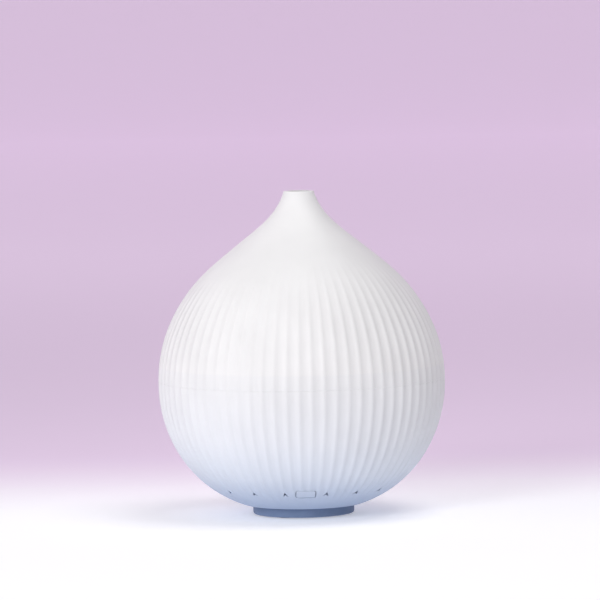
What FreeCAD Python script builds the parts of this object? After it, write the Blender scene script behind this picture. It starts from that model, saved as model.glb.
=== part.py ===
import FreeCAD, Part
import math
import os
from FreeCAD import Matrix, Placement, Vector

# Ultrasonic essential oil diffuser: a fluted onion-shaped body in two shells.
# Millimetres, +Z up, the origin on the table under the middle of the foot, the key at the front (-Y).

# ---- overall sizes
body_radius = 75.0
seam_height = 71.0
total_height = 169.4
foot_height = 5.5
bottom_radius = 30.6
nozzle_radius = 7.9
foot_radius = 26.5

# Outline of the body as shares of its rise and of its widening, from the foot up to the seam
# and from the seam up to the nozzle.
outline_below_seam = [(0.0, 0.0), (0.072, 0.248), (0.195, 0.505), (0.374, 0.734), (0.586, 0.896),
                      (0.80, 0.980)]
outline_above_seam = [(0.0, 1.0), (0.193, 0.961), (0.376, 0.848), (0.539, 0.671), (0.661, 0.471),
                      (0.762, 0.285), (0.8435, 0.1445), (0.925, 0.048), (1.0, 0.0)]

# ---- walls and general clearances
shell_wall = 2.4
cover_wall = 2.4
seat_gap = 0.6          # between a lift-off piece and the wall that it slides past
part_gap = 0.3          # between neighbouring pieces that must not rub
thread_gap = 0.05       # between a screw's shank and its hole
hole_gap = 0.2          # between a screw's shank and a hole that it only passes through
bite = 0.5              # how far a piece is sunk into the one that it is moulded on to
through = 1.0           # how far a cutter runs past the face that it opens

# ---- flutes
flute_count = 72
flute_depth = 0.6
crest_width = 1.1       # at the widest place of the body
flute_foot_start = 2.5  # above the foot: no flute yet
flute_foot_full = 11.5  # above the foot: full depth
flute_fade_start = 27.0  # above the seam: full depth
flute_fade_end = 68.0   # above the seam: the flutes have gone
seam_groove = 0.3       # height and depth of the shadow line on each side of the seam

# ---- intake vents, at the lower ends of every fourth flute, clear of the key
vent_width = 3.2
vent_height = 4.2
vent_notch = 1.4
vent_rise = 9.5         # above the underside of the body
vent_step = 4           # flutes from one vent to the next
vent_first = 2.5        # flutes from the front to the first vent

# ---- foot, pads and the screws under the pads
foot_wall = 3.0
foot_floor = 2.0
foot_edge_radius = 1.2
pad_radius = 4.0
pad_thickness = 1.7
pad_proud = 0.5
post_circle = 19.0
post_radius = 3.5
post_angles = [0.0, 120.0, 240.0]
case_screw_radius = 1.5
case_screw_head_radius = 2.7
case_screw_head_height = 1.8
case_screw_grip = 10.0
pad_edge_radius = 0.3
pad_boss_wall = 1.5
pad_play = 0.1

# ---- small screws: radius and height of each head, and the cross recess as shares of a head
clamp_screw_head = (1.7, 1.2)
fan_screw_head = (2.6, 1.6)
board_screw_head = (2.2, 1.4)
key_screw_head = (1.7, 1.2)
cross_reach = 0.6             # of the head's radius
cross_half_width = 0.14       # of the head's radius
cross_depth = 0.5             # of the head's height

# ---- water tank
tank_wall = 2.0
tank_floor_height = 46.5      # inside, above the table
tank_collar_rise = 5.0        # above the seam
tank_collar_drop = 7.0        # below the seam
tank_collar_wall = 2.2
gasket_thickness = 0.8
gasket_inset = 0.2
ledge_width = 2.6              # under the collar
ledge_depth = 4.7
ledge_lip = 1.5
tank_side_gap = 10.0           # from the foot of the bowl to the shell

# ---- inner lid with its mist chimney
lid_wall = 1.8
lid_skirt = 4.0
lid_dome_rise = 26.0
lid_dome_share = 0.72         # of that rise, half-way in to the chimney
lid_slant = 1.15              # of the wall's thickness, measured upright there
lid_flange_inset = 0.2
chimney_foot_radius = 14.0
chimney_top_radius = 9.5
chimney_length = 42.0

# ---- transducer under the middle of the tank
disc_radius = 10.0
disc_thickness = 0.8
seal_wall = 1.5
seal_height = 4.0
seal_lip = 1.8                # how far the seal reaches over the rim of the disc
clamp_thickness = 1.5
clamp_lip = 1.3
clamp_window = 6.5
ear_offset = 1.9              # from the seal to the screws of the clamp
ear_radius = 2.0
ear_angles = [90.0, 210.0, 330.0]
clamp_screw_radius = 0.9
clamp_screw_grip = 2.8

# ---- fan, its plenum and the air duct through the tank
fan_size = 40.0
fan_thickness = 10.0
fan_corner = 3.0
fan_rim = 1.2
fan_hub_radius = 8.0
fan_blade_gap = 0.6
fan_blades = 7
fan_blade_thickness = 0.9
fan_blade_pitch = 38.0
fan_screw_inset = 4.0
fan_screw_radius = 1.5
fan_spoke_thickness = 1.5
fan_spoke_half_width = 0.9
fan_spoke_angles = [45.0, 135.0, 225.0, 315.0]
fan_axle_radius = 1.2
fan_axle_length = 5.0
rotor_axle_gap = 0.05
rotor_end_gap = 0.6           # from the rotor to the spokes and to the top of the fan
rotor_edge_radius = 0.8
plenum_height = 3.0
plenum_lip = 0.8
fan_wall_gap = 1.5            # from the corners of the fan to the shell
duct_radius = 11.0
duct_wall = 1.8
duct_cone_height = 9.0
duct_top_rise = 3.0           # above the seam
hood_wall = 1.6
hood_grip = 5.0
hood_air_gap = 6.0
hood_roof = 2.0
hood_edge_radius = 0.8
hood_window = 14.0

# ---- main circuit board on the floor of the shell
board_thickness = 1.6
board_rise = 6.3              # above the floor of the shell
board_edge_gap = 3.0
board_half_width = 32.0
board_front = 30.0
standoff_radius = 2.6
board_screw_radius = 1.2
board_screw_spare = 1.5
board_screw_places = [(24.0, 12.0), (24.0, -12.0), (-24.0, 12.0), (-24.0, -12.0)]

# ---- power inlet at the back
jack_width = 9.0
jack_length = 14.0
jack_height = 11.0
jack_axis_rise = 6.5          # above the board
jack_bore = 3.15
jack_bore_depth = 9.5
jack_pin_radius = 1.05
jack_pin_inset = 0.8
jack_recess_radius = 6.0
jack_recess_wall = 2.3

# ---- key at the front, its switch and its board
key_width = 10.0
key_length = 6.5
key_corner = 1.3
key_gap = 0.35
key_rise = 9.5                # above the underside of the body
key_flange = 1.1              # how far the flange reaches past the opening
key_flange_thickness = 1.0
key_play = 0.2
key_travel = 0.5
stem_radius = 1.5
stem_length = 1.4
plunger_radius = 1.7
plunger_length = 1.0
plunger_buried = 1.2
switch_size = 6.0
switch_height = 3.5
key_board_width = 21.0
key_board_length = 11.0
key_post_spread = 8.4
key_post_radius = 1.7
post_bite_share = 0.7         # of the wall's thickness, where a post leaves it
key_post_hole = 4.5
key_screw_grip = 4.0
key_curve_margin = 3.0        # above the key, for the wall that it is cut from
key_curve_start = 2.0         # above the underside of the body
switch_corner = 0.4
switch_well_gap = 0.1
switch_well_spare = 0.3
key_board_corner = 1.0
key_screw_radius = 0.9

# ---- light board under the tank
led_inner_radius = 26.0
led_outer_radius = 34.0
led_board_thickness = 1.2
led_board_drop = 4.3          # from the underside of the tank to the top of the board
led_half_angle = 75.0
led_count = 7
led_size = 5.0
led_thickness = 1.4
led_screw_angle = 66.0
led_screw_margin = 16.0       # in degrees, from a screw to the nearest LED
led_window_radius = 1.9
led_window_depth = 0.3
led_screw_spare = 0.5

# ---- what stands on the main board
inductor_place = (10.0, -21.0)
inductor_radius = 5.0
inductor_core_radius = 4.2
inductor_height = 8.0
inductor_flange = 1.2
capacitor_sizes = [                # x, y, radius, height
    (23.0, 24.0, 4.0, 12.0),
    (13.0, 27.0, 3.2, 10.0),
    (28.0, 2.5, 2.5, 7.0),
]
capacitor_edge_radius = 0.4
capacitor_groove_rise = 1.2
capacitor_groove_width = 0.6
capacitor_groove_depth = 0.3
heat_sink_place = (-21.5, -27.0)
heat_sink_width = 13.0
heat_sink_depth = 9.0
heat_sink_height = 12.0
heat_sink_fins = 5
heat_sink_fin = 1.2
heat_sink_back = 2.5
transistor_lift = 2.0
transistor_half_width = 5.0
transistor_thickness = 3.2
transistor_height = 7.5
transistor_tab = 1.2
transistor_tab_rise = 1.5
transistor_leg_places = [-2.5, 0.0, 2.5]
transistor_leg_half_width = 0.4
transistor_leg_thickness = 0.5
transistor_leg_face = 1.4
chip_low = (-2.0, -7.0)
chip_width = 5.0
chip_length = 10.0
chip_height = 1.6
chip_lift = 0.2
chip_pins = 7                 # on each side
chip_pin_pitch = 1.27
chip_pin_width = 0.45
chip_pin_reach = 1.4
chip_pin_height = 0.5
chip_pin_first = 0.8          # from the end of the chip
passives_corner = (17.0, -27.0)
passive_size = (1.8, 1.1, 0.7)
passive_pitch = (3.0, 2.6)
passive_columns = 4
passive_rows = 3
fan_socket = (-28.0, 0.0)
transducer_socket = (16.0, 10.0)
led_socket = (12.0, -10.5)
key_socket = (-1.5, -26.0)
socket_half_width = 3.2
socket_half_depth = 2.2
socket_wall = 0.8
socket_height = 5.0
socket_floor = 1.2

wire_radius = 0.5
wire_spread = 0.75
wire_bend_share = 0.45        # of the shorter run beside a bend
lead_slack = 4.0              # from a bend of a lead to the height of its next bend
transducer_lead_drop = 6.0    # from the clamp to the lead's last bend
transducer_lead_end = (2.0, 1.0)
led_lead_drop = 7.0           # from the light board to the lead's last bend
led_lead_end = (29.0, -8.0)
fan_lead_gap = 2.2            # from the fan to its leads
fan_lead_run = 7.5            # above the socket's floor
fan_lead_rise = 2.0           # above the underside of the fan
key_lead_gap = 5.0            # from the key board to the lead's last bend

# ---- heights and radii that follow
tank_underside = tank_floor_height - tank_wall
collar_top = seam_height + tank_collar_rise
collar_bottom = seam_height - tank_collar_drop
seal_radius = disc_radius + seal_wall
clamp_radius = seal_radius + clamp_lip
ear_circle = seal_radius + ear_offset
clamp_top = tank_underside - seal_height
clamp_bottom = clamp_top - clamp_thickness
disc_bottom = clamp_top + (seal_height - disc_thickness) / 2
fan_top = tank_underside - plenum_height
fan_bottom = fan_top - fan_thickness
fan_bore = fan_size / 2 - fan_rim
plenum_radius = fan_bore - plenum_lip
duct_top = seam_height + duct_top_rise
led_board_top = tank_underside - led_board_drop
led_board_bottom = led_board_top - led_board_thickness
led_middle_radius = (led_inner_radius + led_outer_radius) / 2
led_screw_angles = (-led_screw_angle, led_screw_angle)
pad_top = pad_thickness
head_seat = pad_top + case_screw_head_height + hole_gap
crest_share = crest_width * flute_count / (2 * math.pi * body_radius)
up = Vector(0, 0, 1)
touch = 0.01                  # heights closer than this are the same


# ---- small tools
def at(radius, angle, height):
    turn = math.radians(angle)
    return Vector(radius * math.cos(turn), radius * math.sin(turn), height)


def rod(radius, bottom, top, x=0.0, y=0.0):
    return Part.makeCylinder(radius, top - bottom, Vector(x, y, bottom), up)


def ring(outer, inner, bottom, top, x=0.0, y=0.0):
    return rod(outer, bottom, top, x, y).cut(rod(inner, bottom, top, x, y))


def block(x_low, x_high, y_low, y_high, z_low, z_high):
    return Part.makeBox(x_high - x_low, y_high - y_low, z_high - z_low, Vector(x_low, y_low, z_low))


def line(start, end):
    return Part.makeLine(Vector(start[0], 0, start[1]), Vector(end[0], 0, end[1]))


def arc(start, middle, end):
    places = [Vector(r, 0, z) for r, z in (start, middle, end)]
    return Part.Arc(*places).toShape()


def turned(edges, x=0.0, y=0.0):
    """A solid turned from a closed outline of edges in the XZ plane, then moved to x, y."""
    face = Part.Face(Part.Wire(Part.__sortEdges__(edges)))
    solid = face.revolve(Vector(0, 0, 0), up, 360)
    solid.translate(Vector(x, y, 0))
    return solid


def turned_polygon(points, x=0.0, y=0.0):
    return turned([line(a, b) for a, b in zip(points, points[1:] + points[:1])], x, y)


def rounded_plate(width, length, corner, bottom, top):
    """An upright plate with round corners, centred on Z."""
    plate = block(-width / 2, width / 2, -length / 2, length / 2, bottom, top)
    upright = [e for e in plate.Edges if abs(e.tangentAt(e.FirstParameter).z) > 0.99]
    return plate.makeFillet(corner, upright)


def screw(shank_radius, head, length):
    """A cross-head screw with its head's underside at Z 0 and its shank going up."""
    head_radius, head_height = head
    body = rod(head_radius, -head_height, 0).fuse(rod(shank_radius, 0, length))
    slot_half = head_radius * cross_half_width
    reach = head_radius * cross_reach
    depth = head_height * cross_depth
    for half_x, half_y in ((reach, slot_half), (slot_half, reach)):
        body = body.cut(block(-half_x, half_x, -half_y, half_y, -head_height - depth, -head_height + depth))
    return body.removeSplitter()


def moved(shape, x, y, z):
    copy = shape.copy()
    copy.translate(Vector(x, y, z))
    return copy


def upside_down(shape):
    copy = shape.copy()
    copy.rotate(Vector(0, 0, 0), Vector(1, 0, 0), 180)
    return copy


def wire(places, radius):
    """A wire along straight runs that meet in tangent arcs."""
    edges = []
    start = places[0]
    for before, corner, after in zip(places, places[1:], places[2:]):
        back = (before - corner).normalize()
        onward = (after - corner).normalize()
        half_turn = (math.pi - back.getAngle(onward)) / 2
        trim = wire_bend_share * min(before.distanceToPoint(corner), corner.distanceToPoint(after))
        bend = trim / math.tan(half_turn)
        bisector = (back + onward).normalize()
        centre = corner + bisector * math.hypot(trim, bend)
        bend_start = corner + back * trim
        bend_end = corner + onward * trim
        edges.append(Part.makeLine(start, bend_start))
        edges.append(Part.Arc(bend_start, centre - bisector * bend, bend_end).toShape())
        start = bend_end
    edges.append(Part.makeLine(start, places[-1]))
    path = Part.Wire(edges)
    section = Part.Wire(Part.makeCircle(radius, places[0], places[1] - places[0]))
    return path.makePipeShell([section], True, False, 0)


def save(name, *solids):
    shape = solids[0] if len(solids) == 1 else Part.makeCompound(list(solids))
    shape.exportStep(os.path.join("parts", name + ".step"))


# ---- outline of the body
def body_outline():
    rise_below = seam_height - foot_height
    rise_above = total_height - seam_height
    points = [
        Vector(bottom_radius + wide * (body_radius - bottom_radius), 0, foot_height + rise * rise_below)
        for rise, wide in outline_below_seam
    ] + [
        Vector(nozzle_radius + wide * (body_radius - nozzle_radius), 0, seam_height + rise * rise_above)
        for rise, wide in outline_above_seam
    ]
    curve = Part.BSplineCurve()
    curve.interpolate(Points=points, FinalTangent=up)
    return curve


outline = body_outline()


def outline_place(height):
    """The parameter of the outline at a height, which rises all the way along it."""
    low, high = outline.FirstParameter, outline.LastParameter
    for _ in range(48):
        middle = (low + high) / 2
        if outline.value(middle).z < height:
            low = middle
        else:
            high = middle
    return low


def outline_point(height, inset=0.0):
    """The point (r, z) of the outline at a height, moved inwards at right angles to the wall."""
    place = outline_place(height)
    point = outline.value(place)
    along = outline.tangent(place)[0]
    return point.x - along.z * inset, point.z + along.x * inset


def outline_radius(height):
    return outline_point(height)[0]


def inner_radius(height, wall):
    """The radius of the inside of a wall at a height, which the inset point of the outline rises to."""
    low, high = foot_height, height
    for _ in range(40):
        middle = (low + high) / 2
        if outline_point(middle, wall)[1] < height:
            low = middle
        else:
            high = middle
    return outline_point(low, wall)[0]


def wall_edge(low, high, inset, spans):
    """The outline between two heights as one curve, moved inwards by inset."""
    places = [outline_point(low + (high - low) * i / spans, inset) for i in range(spans + 1)]
    curve = Part.BSplineCurve()
    curve.interpolate(Points=[Vector(r, 0, z) for r, z in places])
    return curve.toShape(), places[0], places[-1]


def body_region(low, high, inset, spans):
    """The solid inside the outline between two heights, moved inwards by inset."""
    edge, first, last = wall_edge(low, high, inset, spans)
    upper, lower = (0, last[1]), (0, first[1])
    return turned([edge, line(last, upper), line(upper, lower), line(lower, first)])


def wall_layer(low, high, outer_inset, inner_inset, spans):
    """A layer of the wall between two insets, for pieces that follow the outside of the body."""
    outer, outer_first, outer_last = wall_edge(low, high, outer_inset, spans)
    inner, inner_first, inner_last = wall_edge(low, high, inner_inset, spans)
    return turned([outer, line(outer_last, inner_last), inner, line(inner_first, outer_first)])


def wall_frame(angle, height):
    """A frame on the outside of the body: +Z outwards, +Y up the slope and +X sideways."""
    place = outline_place(height)
    radius = outline.value(place).x
    along = outline.tangent(place)[0]
    turn = math.radians(angle)
    outward = Vector(math.cos(turn), math.sin(turn), 0)
    slope = outward * along.x + up * along.z
    normal = outward * along.z - up * along.x
    side = slope.cross(normal)
    origin = outward * radius + up * height
    matrix = Matrix(side.x, slope.x, normal.x, origin.x,
                    side.y, slope.y, normal.y, origin.y,
                    side.z, slope.z, normal.z, origin.z,
                    0, 0, 0, 1)
    return Placement(matrix)


def on_wall(angle, height, solid):
    copy = solid.copy()
    copy.Placement = wall_frame(angle, height).multiply(copy.Placement)
    return copy


# ---- fluted outside
def smooth_step(share):
    held = min(1.0, max(0.0, share))
    return held * held * (3 - 2 * held)


def flute_depth_at(height):
    above_seam = height - seam_height
    if above_seam > 0:
        share = (flute_fade_end - above_seam) / (flute_fade_end - flute_fade_start)
    else:
        share = (height - foot_height - flute_foot_start) / (flute_foot_full - flute_foot_start)
    return flute_depth * smooth_step(share) * outline_radius(height) / body_radius


def fluted_section(height):
    """One level section: narrow crests with a hollow arc between each two, the front flute centred."""
    radius = outline_radius(height)
    depth = flute_depth_at(height)
    pitch = 360 / flute_count
    half_crest = crest_share * pitch / 2
    edges = []
    for i in range(flute_count):
        crest = -90 + (i + 0.5) * pitch
        crest_start = at(radius, crest - half_crest, height)
        crest_end = at(radius, crest + half_crest, height)
        hollow = at(radius - depth, crest + pitch / 2, height)
        next_crest = at(radius, crest + pitch - half_crest, height)
        edges.append(Part.Arc(crest_start, at(radius, crest, height), crest_end).toShape())
        edges.append(Part.Arc(crest_end, hollow, next_crest).toShape())
    return Part.Wire(edges)


def fluted_body(heights):
    return Part.makeLoft([fluted_section(h) for h in heights], True, False, False, 3)


def spaced(low, high, shares):
    return [low + (high - low) * share for share in shares]


# ---- upper cover, with the nozzle moulded in one with it
def make_upper_cover():
    groove_radius = body_radius - flute_depth - seam_groove
    groove_top = seam_height + seam_groove
    smooth_from = seam_height + flute_fade_end
    heights = spaced(groove_top, smooth_from, (0, 0.13, 0.26, 0.39, 0.51, 0.62, 0.73, 0.83, 0.92, 1.0))
    lip = rod(groove_radius, seam_height, groove_top)
    outside = fluted_body(heights).fuse([body_region(smooth_from, total_height, 0, 9), lip])
    edge, first, last = wall_edge(seam_height, total_height, cover_wall, 18)
    inside = turned([
        edge,
        line(last, (last[0], total_height + through)),
        line((last[0], total_height + through), (0, total_height + through)),
        line((0, total_height + through), (0, seam_height - through)),
        line((0, seam_height - through), (first[0], seam_height - through)),
        line((first[0], seam_height - through), first),
    ])
    return outside.cut(inside)


# ---- lower shell
shell_floor_top = outline_point(foot_height, shell_wall)[1]
board_bottom = shell_floor_top + board_rise
board_top = board_bottom + board_thickness
board_radius = inner_radius(board_bottom, shell_wall) - board_edge_gap
jack_axis = board_top + jack_axis_rise
jack_back = math.sqrt(inner_radius(board_top, shell_wall) ** 2 - (jack_width / 2) ** 2) - part_gap
jack_wall_outside = jack_back + part_gap + shell_wall
collar_outer = min(inner_radius(collar_bottom, shell_wall), inner_radius(collar_top, cover_wall)) - seat_gap
collar_inner = collar_outer - tank_collar_wall
ledge_inner = collar_outer - ledge_width
ledge_top = collar_bottom - gasket_thickness
tank_floor_radius = inner_radius(tank_underside, shell_wall) - tank_side_gap
fan_half = fan_size / 2 - fan_corner
fan_reach = inner_radius(fan_bottom, shell_wall) - fan_wall_gap - fan_corner
fan_centre = math.sqrt(fan_reach ** 2 - fan_half ** 2) - fan_half      # from the middle, to the left
key_height = foot_height + key_rise
vent_height_centre = foot_height + vent_rise
key_reach = shell_wall + key_play + key_flange_thickness + stem_length      # to the stem's end
switch_face = key_reach + plunger_length
key_board_face = switch_face + switch_height
wire_start = board_top + socket_floor


def backward_rod(radius, front, back, x, z):
    return Part.makeCylinder(radius, back - front, Vector(x, front, z), Vector(0, 1, 0))


def vent_cutter():
    half = vent_width / 2
    low, high = -vent_height / 2, vent_height / 2
    corners = [(0, high), (half, low), (0, low + vent_notch), (-half, low), (0, high)]
    face = Part.Face(Part.makePolygon([Vector(x, y, -2 * shell_wall) for x, y in corners]))
    return face.extrude(Vector(0, 0, 3 * shell_wall))


def vent_angles():
    count = int(flute_count / vent_step / 2)
    offsets = [(vent_first + vent_step * i) * 360 / flute_count for i in range(count)]
    return [-90 + side * offset for offset in offsets for side in (1, -1)]


def make_lower_shell():
    groove_radius = body_radius - flute_depth - seam_groove
    groove_bottom = seam_height - seam_groove
    smooth_to = foot_height + flute_foot_start
    heights = spaced(smooth_to, groove_bottom, (0, 0.04, 0.08, 0.14, 0.26, 0.42, 0.6, 0.8, 1.0))
    lip = rod(groove_radius, groove_bottom, seam_height)
    outside = fluted_body(heights).fuse([body_region(foot_height, smooth_to, 0, 2), lip])

    recess_wall = backward_rod(jack_recess_radius + jack_recess_wall, jack_wall_outside - shell_wall,
                               body_radius, 0, jack_axis).common(outside)
    edge, first, last = wall_edge(foot_height, seam_height, shell_wall, 12)
    inside = turned([
        edge,
        line(last, (last[0], seam_height + through)),
        line((last[0], seam_height + through), (0, seam_height + through)),
        line((0, seam_height + through), (0, first[1])),
        line((0, first[1]), first),
    ])
    shell = outside.cut(inside)

    ledge_foot = ledge_top - ledge_depth
    in_wall = inner_radius(ledge_foot, shell_wall) + shell_wall / 2
    ledge = turned_polygon([
        (ledge_inner, ledge_top), (in_wall, ledge_top), (in_wall, ledge_foot),
        (in_wall - shell_wall / 2 - thread_gap, ledge_foot), (ledge_inner, ledge_top - ledge_lip),
    ])
    standoffs = [rod(standoff_radius, shell_floor_top - shell_wall / 2, board_bottom, x, y)
                 for x, y in board_screw_places]
    key_post = rod(key_post_radius, -key_board_face, -shell_wall * post_bite_share)
    key_posts = [on_wall(-90, key_height, moved(key_post, x, 0, 0))
                 for x in (-key_post_spread, key_post_spread)]
    shell = shell.fuse([recess_wall, ledge] + standoffs + key_posts)

    cutters = [on_wall(angle, vent_height_centre, vent_cutter()) for angle in vent_angles()]
    opening = rounded_plate(key_width + 2 * key_gap, key_length + 2 * key_gap, key_corner + key_gap,
                            -2 * shell_wall, 2 * shell_wall)
    cutters.append(on_wall(-90, key_height, opening))
    cutters.append(backward_rod(jack_recess_radius, jack_wall_outside, body_radius + through, 0, jack_axis))
    cutters.append(backward_rod(jack_bore + hole_gap, jack_wall_outside - 2 * shell_wall,
                                jack_wall_outside + through, 0, jack_axis))
    for angle in post_angles:
        place = at(post_circle, angle, 0)
        cutters.append(rod(case_screw_radius + hole_gap, foot_height - through, shell_floor_top + through,
                           place.x, place.y))
    for x, y in board_screw_places:
        cutters.append(rod(board_screw_radius + thread_gap, shell_floor_top, board_bottom + through, x, y))
    for x in (-key_post_spread, key_post_spread):
        hole = rod(key_screw_radius + thread_gap, -key_board_face - through, -key_board_face + key_post_hole)
        cutters.append(on_wall(-90, key_height, moved(hole, x, 0, 0)))
    return shell.cut(cutters)


# ---- foot, pads and case screws
def make_foot():
    bottom = pad_proud
    corner = foot_edge_radius
    middle = corner * (1 - math.sqrt(0.5))
    inside = foot_radius - foot_wall
    floor = bottom + foot_floor
    cup = turned([
        line((0, bottom), (foot_radius - corner, bottom)),
        arc((foot_radius - corner, bottom), (foot_radius - middle, bottom + middle),
            (foot_radius, bottom + corner)),
        line((foot_radius, bottom + corner), (foot_radius, foot_height)),
        line((foot_radius, foot_height), (inside, foot_height)),
        line((inside, foot_height), (inside, floor)),
        line((inside, floor), (0, floor)),
        line((0, floor), (0, bottom)),
    ])
    places = [at(post_circle, angle, 0) for angle in post_angles]
    cup = cup.fuse([rod(pad_radius + pad_boss_wall, bottom + foot_floor / 2, foot_height, p.x, p.y)
                    for p in places])
    cutters = []
    for p in places:
        cutters.append(rod(pad_radius + pad_play, 0, pad_top, p.x, p.y))
        cutters.append(rod(case_screw_head_radius + hole_gap, pad_top - pad_play, head_seat, p.x, p.y))
        cutters.append(rod(case_screw_radius + hole_gap, head_seat - pad_play, foot_height + through,
                           p.x, p.y))
    return cup.cut(cutters)


def make_foot_pads():
    pads = []
    for angle in post_angles:
        p = at(post_circle, angle, 0)
        pad = rod(pad_radius, 0, pad_top, p.x, p.y)
        low_edge = [e for e in pad.Edges if e.BoundBox.ZMax < touch]
        pads.append(pad.makeFillet(pad_edge_radius, low_edge))
    return pads


def make_case_screws():
    length = shell_floor_top + case_screw_grip - head_seat
    pattern = screw(case_screw_radius, (case_screw_head_radius, case_screw_head_height), length)
    return [moved(pattern, p.x, p.y, head_seat) for p in (at(post_circle, a, 0) for a in post_angles)]


# ---- water tank
def make_water_tank():
    wall_foot = ledge_inner - part_gap
    slope = (wall_foot - tank_floor_radius) / (collar_bottom - tank_underside)
    thick = tank_wall * math.sqrt(1 + slope * slope)
    inner_floor = tank_floor_radius + slope * tank_wall - thick
    inner_shoulder = wall_foot + slope * tank_wall - thick
    bowl = turned_polygon([
        (0, tank_underside), (tank_floor_radius, tank_underside), (wall_foot, collar_bottom),
        (collar_outer, collar_bottom), (collar_outer, collar_top), (collar_inner, collar_top),
        (collar_inner, collar_bottom + 2 * tank_wall), (inner_shoulder, collar_bottom + tank_wall),
        (inner_floor, tank_floor_height), (0, tank_floor_height),
    ])
    narrow = duct_radius + duct_wall
    wide = plenum_radius + duct_wall
    sunk = tank_underside + bite
    seat_face = tank_underside - seal_height + part_gap
    cone_top = tank_floor_height + duct_cone_height
    duct = turned_polygon([
        (0, tank_underside), (wide, tank_underside), (wide, tank_floor_height),
        (narrow, cone_top), (narrow, duct_top), (0, duct_top),
    ], -fan_centre)
    plenum = moved(rounded_plate(fan_size, fan_size, fan_corner, fan_top, sunk), -fan_centre, 0, 0)
    seat = rod(seal_radius + tank_wall, seat_face, sunk)
    ears = []
    for angle in ear_angles:
        p = at(ear_circle, angle, 0)
        ears.append(rod(ear_radius, seat_face, sunk, p.x, p.y))
    posts = []
    for angle in post_angles:
        p = at(post_circle, angle, 0)
        posts.append(rod(post_radius, shell_floor_top, sunk, p.x, p.y))
    led_posts = []
    for angle in led_screw_angles:
        p = at(led_middle_radius, angle, 0)
        led_posts.append(rod(standoff_radius, led_board_top, sunk, p.x, p.y))
    tank = bowl.fuse([duct, plenum, seat] + ears + posts + led_posts)

    air_way = turned_polygon([
        (0, fan_top - through), (plenum_radius, fan_top - through),
        (plenum_radius, tank_floor_height - duct_wall),
        (duct_radius, cone_top - duct_wall / 2), (duct_radius, duct_top + through), (0, duct_top + through),
    ], -fan_centre)
    window = disc_radius - seal_lip / 2
    cutters = [air_way, rod(window, tank_underside - through, tank_floor_height + through),
               rod(seal_radius + thread_gap, tank_underside - seal_height - through, tank_underside)]
    for angle in ear_angles:
        p = at(ear_circle, angle, 0)
        cutters.append(rod(clamp_screw_radius + thread_gap, tank_underside - seal_height - through,
                           tank_underside, p.x, p.y))
    for angle in post_angles:
        p = at(post_circle, angle, 0)
        cutters.append(rod(case_screw_radius + thread_gap, shell_floor_top - through,
                           shell_floor_top + case_screw_grip + 2 * through, p.x, p.y))
    for x, y in fan_screw_spots():
        cutters.append(rod(fan_screw_radius + thread_gap, fan_top - through, tank_underside + through, x, y))
    for angle in led_screw_angles:
        p = at(led_middle_radius, angle, 0)
        cutters.append(rod(board_screw_radius + thread_gap, led_board_top - through, tank_underside,
                           p.x, p.y))
    return tank.cut(cutters)


def make_tank_gasket():
    return ring(collar_outer - gasket_inset, ledge_inner + gasket_inset, ledge_top, collar_bottom)


def make_duct_hood():
    inner = duct_radius + duct_wall + thread_gap
    outer = inner + hood_wall
    roof_bottom = duct_top + hood_air_gap
    hood = ring(outer, inner, duct_top - hood_grip, roof_bottom, -fan_centre)
    hood = hood.fuse(rod(outer, roof_bottom, roof_bottom + hood_roof, -fan_centre))
    half = hood_window / 2
    low, high = duct_top + bite, roof_bottom
    for x_half, y_half in ((outer + through, half), (half, outer + through)):
        hood = hood.cut(block(-fan_centre - x_half, -fan_centre + x_half, -y_half, y_half, low, high))
    rim = [e for e in hood.Edges if e.BoundBox.ZMin > roof_bottom + hood_roof - touch]
    return hood.makeFillet(hood_edge_radius, rim)


# ---- inner lid
def make_inner_lid():
    flange_outer = collar_outer - lid_flange_inset
    skirt_outer = collar_inner - seat_gap
    skirt_inner = skirt_outer - lid_wall
    base = collar_top
    flange_top = base + lid_wall
    dome_top = flange_top + lid_dome_rise
    top = dome_top + chimney_length
    middle_radius = (skirt_outer + chimney_foot_radius) / 2
    middle_height = flange_top + lid_dome_rise * lid_dome_share
    return turned([
        line((skirt_inner, base - lid_skirt), (skirt_outer, base - lid_skirt)),
        line((skirt_outer, base - lid_skirt), (skirt_outer, base)),
        line((skirt_outer, base), (flange_outer, base)),
        line((flange_outer, base), (flange_outer, flange_top)),
        line((flange_outer, flange_top), (skirt_outer, flange_top)),
        arc((skirt_outer, flange_top), (middle_radius, middle_height), (chimney_foot_radius, dome_top)),
        line((chimney_foot_radius, dome_top), (chimney_top_radius, top)),
        line((chimney_top_radius, top), (chimney_top_radius - lid_wall, top)),
        line((chimney_top_radius - lid_wall, top), (chimney_foot_radius - lid_wall, dome_top - lid_wall)),
        arc((chimney_foot_radius - lid_wall, dome_top - lid_wall),
            (middle_radius, middle_height - lid_wall * lid_slant), (skirt_inner, base)),
        line((skirt_inner, base), (skirt_inner, base - lid_skirt)),
    ])


# ---- transducer
def make_transducer_seal():
    top = tank_underside
    lip = disc_radius - seal_lip
    return turned_polygon([
        (lip, clamp_top), (seal_radius, clamp_top), (seal_radius, top), (lip, top),
        (lip, disc_bottom + disc_thickness), (disc_radius, disc_bottom + disc_thickness),
        (disc_radius, disc_bottom), (lip, disc_bottom),
    ])


def make_transducer_disc():
    return rod(disc_radius, disc_bottom, disc_bottom + disc_thickness)


def make_transducer_clamp():
    plate = rod(clamp_radius, clamp_bottom, clamp_top)
    places = [at(ear_circle, angle, 0) for angle in ear_angles]
    plate = plate.fuse([rod(ear_radius, clamp_bottom, clamp_top, p.x, p.y) for p in places])
    holes = [rod(clamp_screw_radius + hole_gap, clamp_bottom - through, clamp_top + through, p.x, p.y)
             for p in places]
    return plate.cut([rod(clamp_window, clamp_bottom - through, clamp_top + through)] + holes)


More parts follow.
